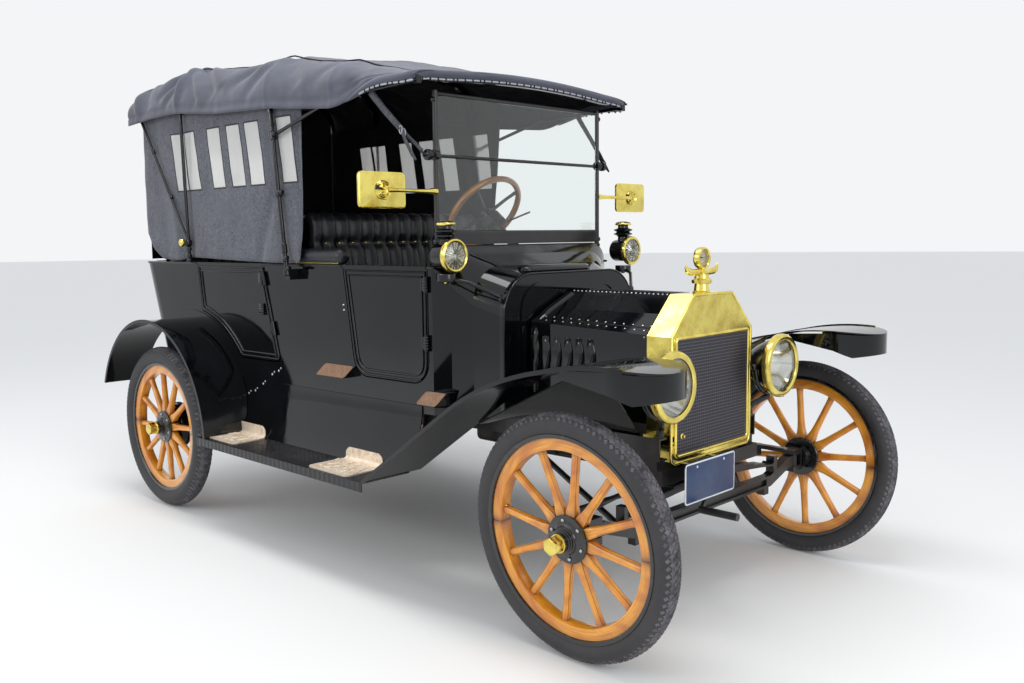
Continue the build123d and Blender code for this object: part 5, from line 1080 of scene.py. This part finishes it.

# --- Hood and firewall fittings -------------------------------------------
# The hood's sheets are joined by a brass-pinned centre hinge and a hinge along each shoulder, every
# leaf held by a row of snap rivets; a moulded bead runs round the firewall's edge.
# The rivet heads are black enamelled domes; their pale grey to white colour, flecked whiter by the noise, is a
# painted highlight for the light they catch
rivet_highlight_paint = weathered("grey_rivet_painted_highlight", "#8C8F98", "#E4E6EA", (500, 2), (0.45, 0.6), metallic=0.7,
                        roughness=0.3)
hood_rear_x, hood_nose_x = 752, 1256


def hood_line(x, side, share, lift):
    """Point on the sloping top of the hood, share 0 at the shoulder crease and 1 at its leaf's edge."""
    along = (x - 746.5) / 514
    crease, leaf = Vector((x, 250 - 14 * along, 956 - 18 * along)), Vector((x, 150, 1002))
    slope = (leaf - crease).normalized()
    point = crease.lerp(leaf, share) + Vector((0, -slope.z, slope.y)) * lift
    return Vector((x, side * point.y, point.z))


def rivet(bm, point, normal, radius, slot=0):
    """Low round rivet head on a surface, in mm."""
    turn = Vector(normal).to_track_quat("Z", "Y").to_matrix().to_4x4()
    ball(bm, point, (radius, radius, radius * 0.55), slot, rings=5, turn=turn)


for name, side in sides:
    body = f"hood_{name}_body"
    heads = bmesh.new()
    for index in range(13):
        for share, shift in ((0.2, 14), (0.42, 34)):
            x = min(hood_rear_x + index * 39 + shift, hood_nose_x - 6)
            rivet(heads, hood_line(x, side, share, 1.5), (0, side * 46, 104), 4.4)
    tube(heads, [(x, side * 9, 1063.4) for x in (hood_rear_x, 1004, hood_nose_x)], 2.2, sides=8, slot=1)
    for index in range(26):
        rivet(heads, (hood_rear_x + 8 + 19.4 * index, side * 19, 1059), (0, side * 0.4, 0.9), 3.8)
    for x in (hood_rear_x + 12, hood_nose_x - 8):
        for z in (700, 780, 860, 930):
            rivet(heads, (x, side * (250.5 - 14 * (x - 746.5) / 514), z), (0, side, 0), 3.2)
    tube(heads, [hood_line(x, side, 0.31, 0.6) for x in (hood_rear_x, 1004, hood_nose_x)], 2.4, sides=8,
         slot=1)
    make_piece(f"hood_{name}_rivets", heads, [rivet_highlight_paint, coach_enamel], body)

    # Louvres pressed out like eyelids, open to the rear; a gloss black disc fills each opening as painted shade
    # for the dark gap under the lid
    louvres = bmesh.new()
    for index in range(6):
        x = 1016.5 - 51 * index
        skin = side * (249.9 - 14 * (x - 721.5) / 514)
        ball(louvres, (x, skin, 839.5), (31, 13.5, 71), segments=28, rings=20)
        for plane, normal in (((x, 0, 0), (1, 0, 0)), ((0, skin, 0), (0, side, 0))):
            part = [item for item in [*louvres.verts, *louvres.edges, *louvres.faces]
                    for vert in [item if isinstance(item, bmesh.types.BMVert) else item.verts[0]]
                    if abs(vert.co.x - x * mm) < 32 * mm]
            bmesh.ops.bisect_plane(louvres, geom=part, plane_co=Vector(plane) * mm, plane_no=normal,
                                   clear_inner=True)
        # Gloss black disc across the louvre's rear opening: painted shade standing for the dark gap
        place = (Matrix.Translation(Vector((x + 0.6, skin + side * 0.2, 839.5)) * mm)
                 @ Matrix.Rotation(pi / 2, 4, "Y") @ Matrix.Diagonal((70.5 * mm, 13 * mm, 1, 1)))
        recolour(bmesh.ops.create_circle(louvres, cap_ends=True, segments=28, radius=1,
                                         matrix=place)["verts"], 1)
    make_piece(f"hood_{name}_louvres", louvres, [coach_enamel, lamp_enamel], body)

    # Broad rounded band pressed round the hood's rear end
    path = [(251, 706), (251, 800), (251, 880)]
    path += [(251 - 62 * (1 - cos(radians(a))) * 0.9, 880 + 90 * sin(radians(a))) for a in range(15, 66, 10)]
    path += [(y, 1066 - 0.43 * y) for y in (175, 130, 90, 45)]
    band = bmesh.new()
    bmesh.ops.create_grid(band, x_segments=len(path) - 1, y_segments=12, size=1)
    for vert in band.verts:
        spot = round((vert.co.x + 1) / 2 * (len(path) - 1))
        before, after = path[max(0, spot - 1)], path[min(len(path) - 1, spot + 1)]
        outward = Vector((after[1] - before[1], before[0] - after[0])).normalized()
        arch = radians(90 * (vert.co.y + 1))
        y, z = Vector(path[spot]) + outward * 11 * sin(arch)
        vert.co = Vector((764 - 19 * cos(arch), side * y, z)) * mm
    make_piece(f"hood_{name}_band", band, [coach_enamel], body)

edge = bmesh.new()
half, top, corner = 375, 1130, 150
line = [(half, z) for z in (645, 760, 880, top - corner)]
line += [(half - corner + corner * cos(radians(a)), top - corner + corner * sin(radians(a)))
         for a in range(10, 91, 10)]
line += [(-y, z) for y, z in line[::-1]]
tube(edge, [(733.5, y, z) for y, z in line], 4.2)
make_piece("firewall_bead", edge, [coach_enamel], "chassis")

# Low rounded lid across the cowl's top, ahead of the screen
lid = bmesh.new()
lid_line = ((-204, 2), (-201, 12), (-192, 19), (-170, 22), (0, 23), (140, 22), (162, 19), (171, 12), (174, 2))
tube(lid, [(655, y, 1139) for y, _ in lid_line], [size for _, size in lid_line], sides=24, flat=1.7)
make_piece("cowl_lid", lid, [coach_enamel], "chassis")

# --- Windscreen fittings --------------------------------------------------
# The screen's fold turns on cast ears with a thumb nut at each post. Cup-head screws hold the glass
# frames to the posts above and below, and two more the posts to the cowl's board.
ears = bmesh.new()
for side in (-1, 1):
    turned(ears, [(0, -30), (17, -30), (19, -26), (19, -6), (13, -3), (13, 8), (20, 11), (20, 24), (15, 28),
                  (8, 30),
                  (7, 40), (0, 41)], facing(480.2, side * 480, 1562, "Y", side), steps=28)
    for z in (1250, 1760):
        turned(ears, [(0, -4), (10, -4), (10, 3), (7, 6), (0, 7)], facing(480.2, side * 470, z, "Y", side),
               steps=20)
    for z in (1190, 1225):
        turned(ears, [(0, 0), (8, 0), (8, 4), (4, 7), (0, 7)], facing(488, side * 460, z), steps=16)
make_piece("windscreen_ears", ears, [lamp_enamel], "chassis")

# --- Mirrors --------------------------------------------------------------
# Bevelled brass plates with rounded corners on a turned boss with a ring of holes, and a tapering
# cast arm screwed to the screen post. The holes are drawn as black balls set into the boss: painted shade for
# their dark insides.
for name, side in sides:
    mirror = bmesh.new()
    box(mirror, (472, side * 705, 1431), (8, 205, 126), bevel=18, segments=6, along=0)
    mirror.normal_update()
    front = [face for face in mirror.faces if face.normal.x > 0.9]
    bmesh.ops.inset_region(mirror, faces=front, thickness=6 * mm, depth=2.5 * mm, use_even_offset=True)
    boss = facing(476, side * 705, 1431)
    turned(mirror,
           [(0, 2), (33, 2), (34, 6), (32, 9), (28, 6.5), (24, 9.5), (20, 7), (16, 11), (10, 9), (8, 15),
                    (0, 17)], boss)
    # Black balls in the boss stand for the holes: painted shade
    for hole in range(8):
        spot = (boss @ Matrix.Rotation(radians(45 * hole), 4, "Y")
                @ Matrix.Translation((24 * mm, 7.5 * mm, 0))
                @ Matrix.Diagonal((3.5 * mm, 2 * mm, 3.5 * mm, 1)))
        bmesh.ops.create_uvsphere(mirror, u_segments=10, v_segments=6, radius=1, matrix=spot)
        for face in mirror.faces[-60:]:
            face.material_index = 1
    arm = ((488, 690, 9), (492, 660, 7), (488, 600, 6), (484, 540, 8), (481, 500, 9), (481, 478, 13),
           (481, 462, 13))
    tube(mirror, [(x, side * y, 1431) for x, y, _ in arm], [r for *_, r in arm], sides=14)
    make_piece(f"mirror_{name}", mirror, [polished_brass, lamp_enamel], "chassis", sharp=30,
               stands_for="mirrors")

# --- Door beading and hinges ----------------------------------------------
# Half-round steel moulding is soldered round every door and along the body's top rail, all under the
# same enamel. The doors hang on ribbed iron hinges and close on small bright latches.


def rounded(points, radius, steps=6):
    """Line through points with its corners rounded."""
    line = [points[0]]
    for before, corner, after in zip(points, points[1:], points[2:]):
        corner, arms = Vector(corner), [Vector(before) - Vector(corner), Vector(after) - Vector(corner)]
        reach = min(radius, *[arm.length * 0.48 for arm in arms])
        first, last = (corner + arm.normalized() * reach for arm in arms)
        line += [first.lerp(corner, t / steps).lerp(corner.lerp(last, t / steps), t / steps)
                 for t in range(steps + 1)]
    return line + [points[-1]]


def inset_line(line, depth):
    """Closed clockwise line moved inwards by a depth."""
    moved = []
    for index, point in enumerate(line):
        arms = Vector(point) - Vector(line[index - 1]), Vector(line[(index + 1) % len(line)]) - Vector(point)
        ways = [Vector((arm.y, -arm.x)).normalized() for arm in arms]
        joined = (ways[0] + ways[1]).normalized()
        moved.append(Vector(point) + joined * depth / joined.dot(ways[0]))
    return moved


# Square front door with round foot corners; the rear doors are cut round the fender
front_outline = rounded([(464.5, 1148), (464.5, 725), (43.5, 725), (-19.3, 1148)], 85)
fender_angles = [radians(77.6 - 3.88 * step) for step in range(10, -1, -1)]
fender_cut = [(-1204.5 + 565 * cos(angle), 381 + 565 * sin(angle)) for angle in fender_angles]
rear_outline = rounded([(-571.5, 1148), (-464.5, 735), *fender_cut, (-1110.8, 1148)], 30)
doors = (
    # body, outline, side, x of the hinge pins, their heights
    ("front_right_door", front_outline, -1, 464.5, (1094, 878)),
    ("rear_right_door", rear_outline, -1, -578, (1094, 960)),
    ("rear_left_door", rear_outline, 1, -578, (1094, 960)),
)
for body, outline, side, pin_x, heights in doors:
    bead = bmesh.new()
    for depth in (9, 27):
        line = [(x, skin_y(x, side, 1.5), z) for x, z in inset_line(outline, depth)]
        tube(bead, line, 4.6, closed=True)
    make_piece(f"{body}_moulding", bead, [coach_enamel], body)

    hinge = bmesh.new()
    for z in heights:
        for step in range(5):
            turned(hinge, [(0, -4.6), (9.4, -4.6), (10.4, -3), (10.4, 3), (9.4, 4.6), (0, 4.6)],
                   facing(pin_x, skin_y(pin_x, side, 8.3), z - 21 + 10.4 * step, "Z"), steps=20)
        box(hinge, (pin_x - 18, skin_y(pin_x - 18, side, 2.4), z), (30, 5, 44), bevel=1.8)
        for x in (pin_x - 25, pin_x - 12):
            for up in (-12, 12):
                rivet(hinge, (x, skin_y(x, side, 4.6), z + up), (0, side, 0), 3.4)
    make_piece(f"{body}_hinges", hinge, [lamp_enamel], body)

rail = bmesh.new()
for side, start, end in ((-1, 470, 500), (-1, -32, -582), (-1, -1124, -1540), (1, 500, -582),
                         (1, -1124, -1540)):
    tube(rail, [(x, skin_y(x, side, 3), 1155) for x in (start, (start + end) / 2, end)], 4.5)
make_piece("body_rail_moulding", rail, [coach_enamel], "chassis")

latches = bmesh.new()
for x, z in ((-20, 1000), (-18, 980)):
    turned(latches, [(0, -1), (5, -1), (5, 3), (3, 6), (0, 6.5)], facing(x, skin_y(x, -1), z, "Y", -1),
           steps=16)
make_piece("front_right_door_studs", latches, [bright_steel], "front_right_door")

# --- Running boards and step plates ---------------------------------------
# Pressed steel boards with a pattern of small raised diamonds and a rolled front lip. Two cast step
# plates are screwed on each, their inner ends turned up against the apron.
board_steel = weathered("black_patterned_board_steel", "#0E0F14", "#2C2B2E", (9, 7, 0.65), (0.45, 0.75),
                        (0.3, 0.7, 0.22, 0.55), ior=1.5)
tree, shader, place = opened(board_steel)
crossed = add_node(tree, "Mapping",
                   {"Vector": place, "Scale": (46, 70, 1), "Rotation": (0, 0, radians(45))}).outputs[0]
diamonds = add_node(tree, "TexVoronoi", {"Vector": crossed, "Scale": 1, "Randomness": 0},
                    distance="MANHATTAN").outputs[0]
relief = add_node(tree, "Bump", {"Strength": 0.8, "Distance": 1.6 * mm, "Height": diamonds}, invert=True)
feed(shader, normal=relief.outputs[0])
paint(["running_boards"], board_steel)
# Aluminium alloy castings with a brownish bloom, rubbed bright on their raised ribs
step_alloy = weathered("browned_cast_step_alloy", "#F6E8D4", "#B8946E", (45, 7, 0.7), (0.46, 0.8),
                       (0.3, 0.7, 0.38, 0.6),
                       (0.15, 1), metallic=0.45)

board_plates = (
    # rear end, front end, inner edge, outer edge
    (-752, -492, 607, 770),
    (72, 322, 605, 784),
)
for name, side in sides:
    plates = bmesh.new()
    for rear, nose, inner, outer in board_plates:
        middle, y = (rear + nose) / 2, side * (inner + outer) / 2
        box(plates, (middle, y, 405.5), (nose - rear, outer - inner, 5), bevel=24, segments=5, along=2)
        for rib in range(9):
            box(plates, (rear + 26 + rib * (nose - rear - 52) / 8, y, 409), (5, outer - inner - 50, 3),
                turn=Matrix.Rotation(radians(24 * (-1) ** rib), 4, "Z"))
        # Toe guard: bent up at the inner edge in a quarter circle, with rounded shoulders
        guard = bmesh.new()
        bmesh.ops.create_grid(guard, x_segments=20, y_segments=12, size=0.5)
        for vert in guard.verts:
            share = vert.co.y + 0.5
            taper = 1 - 0.2 * max(0, (share - 0.4) / 0.6) ** 3
            bend = min(1, share / 0.35) * pi / 2
            up = 10 * (1 - cos(bend)) + max(0, share - 0.35) / 0.65 * 38
            vert.co = Vector((middle + vert.co.x * (nose - rear - 20) * taper,
                              side * (inner + 30 - 27 * sin(bend)), 407 + up)) * mm
        guard.normal_update()
        bmesh.ops.solidify(guard, geom=guard.faces[:], thickness=3 * mm)
        shell = bpy.data.meshes.new("toe_guard")
        guard.to_mesh(shell)
        guard.free()
        plates.from_mesh(shell)
    make_piece(f"step_plates_{name}", plates, [step_alloy], "chassis")

# --- Sill plates ----------------------------------------------------------
# Small brown bronze plates below the edges of the front right door, screwed on black wedges so that
# they lean outwards.
sill_bronze = weathered("brown_sill_bronze", "#B08C70", "#5E4636", (60, 7, 0.7), gloss=(0.3, 0.7, 0.35, 0.6),
                        metallic=0.6)
sill_plates = bmesh.new()
lean, rise, setback = 40, 46, 16
for rear, nose, foot in ((-160, 24, 712), (440, 548, 655)):
    wedge = bmesh.ops.create_cube(sill_plates, size=1)["verts"]
    for vert in wedge:
        x, high = (rear if vert.co.x < 0 else nose), vert.co.z > 0
        out = (3 if high else lean + 2) if vert.co.y < 0 else -2 if x < 500 else -46
        vert.co = Vector((x + setback * high, skin_y(x, -1, out), foot + rise * high)) * mm
    recolour(wedge, 1)
    sloping = bmesh.ops.create_cube(sill_plates, size=1)["verts"]
    for vert in sloping:
        x, high = (rear + 2 if vert.co.x < 0 else nose - 2), vert.co.z > 0
        out = (3 if high else lean + 2) + (5 if vert.co.y < 0 else -1)
        vert.co = Vector((x + setback * high, skin_y(x, -1, out), foot + (rise - 1 if high else 1))) * mm
    ends = [edge for edge in {edge for vert in sloping for edge in vert.link_edges}
            for run in [edge.verts[0].co - edge.verts[1].co] if abs(run.y) < 8 * mm and abs(run.x) < mm]
    bmesh.ops.bevel(sill_plates, geom=ends, affect="EDGES", offset=9 * mm, segments=4, profile=0.5,
                    material=-1)
make_piece("sill_plates", sill_plates, [sill_bronze, coach_enamel], "chassis")

# --- Fender fittings ------------------------------------------------------
# The rear fenders' flanges are bolted to the body's sides with pairs of cup-head bolts, which have
# rubbed bright. They follow the fender's curve.
bolts = bmesh.new()
for side in (-1, 1):
    for x, z, out in ((-486, 694, 540.2), (-536, 674, 542.2), (-602, 626, 549.6), (-662, 590, 554.4),
                      (-712, 573, 558)):
        rivet(bolts, (x, side * out, z), (0, side, 0.1), 6.5)
        rivet(bolts, (x + 16, side * (out - 0.6), z + 12), (0, side, 0.1), 5)
make_piece("fender_bolts", bolts, [bright_steel], "chassis")

# --- Number plate ---------------------------------------------------------
# Pressed steel plate in stove enamel, navy blue with a narrow white border and left blank. It hangs
# on two flat black straps by a bolt each.
plate_enamel = weathered("navy_stove_enamel", "#14264A", "#22406B", (30, 6), ior=1.5, roughness=0.3)
plate_white = weathered("white_stove_enamel", "#E6E9EC", "#B9BFC6", (50, 6), ior=1.5, roughness=0.35)
plate_x = 1431.5
plate = bmesh.new()
box(plate, (plate_x, -115, 464.5), (2, 297, 135), bevel=12, segments=5, along=0)
plate.normal_update()
front = [face for face in plate.faces if face.normal.x > 0.9]
bmesh.ops.inset_region(plate, faces=front, thickness=3 * mm, depth=0)
for face in set(plate.faces) - set(front):
    face.material_index = 1 if face.normal.x > -0.5 and face.calc_center_median().x > plate_x * mm else 0
bmesh.ops.inset_region(plate, faces=front, thickness=2.2 * mm, depth=0.8 * mm)
for face in plate.faces:
    if face.normal.x > 0.5 and face not in front:
        face.material_index = 1
for y in (-195, -35):
    rivet(plate, (plate_x + 1, y, 515), (1, 0, 0), 5, slot=1)
    box(plate, (1392, y, 518), (76, 20, 4), slot=2)
make_piece("number_plate_blank", plate, [plate_enamel, plate_white, rim_enamel], "chassis",
           sharp=30,
           stands_for="number_plate")

# --- Front axle fittings --------------------------------------------------
# Bare steel nuts on the threaded ends of the front spring's two clamps, which hold the spring down
# on the frame's front cross member.
fittings = bmesh.new()
for side in (-1, 1):
    for x in (-22, 22):
        for y in (26, 62):
            turned(fittings, [(0, -3), (9, -3), (9, 6), (5, 7), (5, 16), (0, 16)],
                   facing(front_x + x, side * y, 486, "Z"), steps=6)
make_piece("front_spring_nuts", fittings, [bright_steel], "chassis")

# --- Steering wheel -------------------------------------------------------
# Bent hardwood rim, varnished, with finger marks below, screwed to four iron spider arms round a
# turned boss on the steering shaft.
column_up = Vector((-cos(radians(37.7)), 0, sin(radians(37.7))))
wheel_at = Matrix.Translation(Vector((45.5, 205,
                                      1370)) * mm) @ column_up.to_track_quat("Y", "Z").to_matrix().to_4x4()
steer_rim = bmesh.new()
grain_layer = steer_rim.verts.layers.float_vector.new("grain")
marks_layer = steer_rim.verts.layers.float_vector.new("marks")
spin_outline(steer_rim, [(182 + 13 * cos(radians(a)), (16 if a in (60, 90, 120) else 13) * sin(radians(a)))
                         for a in range(0, 360, 20)])
for vert in steer_rim.verts:
    vert[grain_layer] = (atan2(vert.co.z, vert.co.x) * 0.182, sqrt(vert.co.x ** 2 + vert.co.z ** 2),
                         vert.co.y)
    vert[marks_layer] = (0, 0.15 + 0.35 * (vert.co.y < -0.005), 0)
bmesh.ops.transform(steer_rim, matrix=wheel_at, verts=steer_rim.verts)
make_piece("steering_wheel_rim", steer_rim, [varnished_wood], "steering_wheel_body",
           stands_for="steering_wheel")
spider = bmesh.new()
for arm in range(4):
    turn = Matrix.Rotation(radians(45 + 90 * arm), 4, "Y")
    tube(spider, [turn @ Vector(point) for point in ((0, -12, 0), (50, -10, 0), (110, -6, 0), (172, -6, 0))],
         [10, 8, 7, 8], sides=12)
spin_outline(spider, [(0, -26), (31, -26), (32, -22), (32, -6), (26, 0), (18, 3), (17, 10), (0, 12)],
             steps=40)
bmesh.ops.transform(spider, matrix=wheel_at, verts=spider.verts)
make_piece("steering_wheel_spider", spider, [lamp_enamel], "steering_wheel_body")

# --- Top irons, brackets and straps ---------------------------------------
# Black enamelled steel tube; the middle post stands in a forged socket with a wing nut, a buckled
# strap holds the folded curtain to it, and a leather strap pulls the front bow down to the screen.
strap_hide = weathered("dark_oiled_strap_leather", "#25262B", "#50505A", (70, 7, 0.7), (0.4, 0.7),
                       relief=(0.5, 1),
                       ior=1.5, roughness=0.5)
paint(["top_frame"], lamp_enamel)


def ring_line(centre, radii):
    """Twelve points of an ellipse about a centre, its two half-axes given as vectors."""
    return [centre + radii[0] * cos(radians(a)) + radii[1] * sin(radians(a)) for a in range(0, 360, 30)]


collars = ((0.02, 26, 15), (0.09, 14, 14), (0.16, 40, 12), (0.47, 26, 14), (0.8, 34, 15), (0.865, 16, 12),
           (0.94, 22, 12))
for name, side in sides:
    irons = bmesh.new()
    foot, head = Vector((-330.5, side * 580, 1110)), Vector((-419.5, side * 580, 1837))
    up = (head - foot).normalized()
    for share, long, r in collars:
        middle, long = foot.lerp(head, share), long / 2
        tube(irons, [middle + up * reach for reach in (-long, 3 - long, long - 3, long)],
             [r - 3, r, r, r - 3], sides=16)
    for share, reach in ((0.04, 34), (0.1, 26), (0.47, 40), (0.8, 30)):
        spot = foot.lerp(head, share)
        tip = spot + Vector((reach, side * 12, 6))
        tube(irons, [spot, spot + Vector((reach * 0.7, side * 10, 4)), tip], [7, 6, 8], sides=12)
        turned(irons, [(0, -8), (8, -8), (9, -5), (9, 5), (6, 8), (0, 9)], facing(*tip, "Y", side), steps=14)
    turned(irons, [(0, -12), (16, -12), (18, -8), (18, 8), (15, 12), (0, 13)],
           facing(-1164.5, side * 582, 1250, "Y", side), steps=24)
    for z in (1168, 1190, 1222):
        turned(irons, [(0, -7), (12, -7), (13, -5), (13, 5), (12, 7), (0, 7)],
               facing(-1164.5, side * 580, z, "Z"), steps=16)
    low, high = Vector((-1164.5, side * 580, 1262)), Vector((-1600.5, side * 580, 1865))
    along = (high - low).normalized() * 10
    for share in (0.35, 0.72):
        tube(irons, [low.lerp(high, share) - along, low.lerp(high, share) + along], 9.5, sides=14)
    make_piece(f"top_iron_joints_{name}", irons, [lamp_enamel], "chassis")

    knob = bmesh.new()
    turned(knob, [(0, 0), (9, 0), (9, 8), (16, 11), (19, 18), (19, 25), (15, 31), (8, 34), (0, 34.5)],
           facing(-1173, side * 589, 1252, "Y", side), steps=28)
    make_piece(f"top_iron_knob_{name}", knob, [polished_brass], "chassis")

    strap = bmesh.new()
    top, bolt = Vector((268, side * 584, 1797)), Vector((478, side * 522, 1575))
    middle = top.lerp(bolt, 0.62) + Vector((0, side * 3, -6))
    tube(strap, [top, top.lerp(middle, 0.5) + Vector((0, side * 2, -3)), middle], [14, 13, 12], sides=12,
         flat=0.32)
    tube(strap, [middle, middle.lerp(bolt, 0.4), bolt], [9, 6, 7], flat=0.5)
    tail = [middle + Vector(step)
            for step in ((0, 0, 0), (22, side * 6, -34), (60, side * 4, -92), (78, side * 2, -112))]
    tube(strap, tail, [10, 9, 8, 4], sides=8, flat=0.35)
    for spot in (middle, middle.lerp(bolt, 0.15)):
        buckle = ring_line(spot + Vector((0, side * 4, 0)), (Vector((8.1, 0, 0)), Vector((0, 0, 15))))
        tube(strap, buckle, 2.2, sides=6, closed=True, slot=1)
    post_band = ring_line(foot.lerp(head, 0.475), (Vector((17, 0, 0)), Vector((0, side * 17, 0))))
    tube(strap, post_band, 9, sides=8, closed=True, flat=0.3)
    make_piece(f"top_strap_{name}", strap, [strap_hide, bright_steel], "chassis")

# --- Floor mats -----------------------------------------------------------
# Black rubber mats with lengthwise ribs and brown dirt between them, lying loose on the floor boards
# before the front and the rear seat.
mat_rubber = weathered("black_ribbed_mat_rubber", "#1B1A1A", "#3A3631", (20, 6), ior=1.52, roughness=0.7)
tree, shader, place = opened(mat_rubber)
ribs = add_node(tree, "TexWave", {"Vector": place, "Scale": 18}, bands_direction="Y").outputs["Fac"]
feed(shader, normal=add_node(tree, "Bump", {"Strength": 0.8, "Distance": 2 * mm, "Height": ribs}).outputs[0])
mats = bmesh.new()
for rear, nose, half in ((150, 425, 430), (-1080, -450, 440)):
    box(mats, ((rear + nose) / 2, 0, 643), (nose - rear, 2 * half, 5), bevel=1.8)
make_piece("floor_mats", mats, [mat_rubber], "chassis")
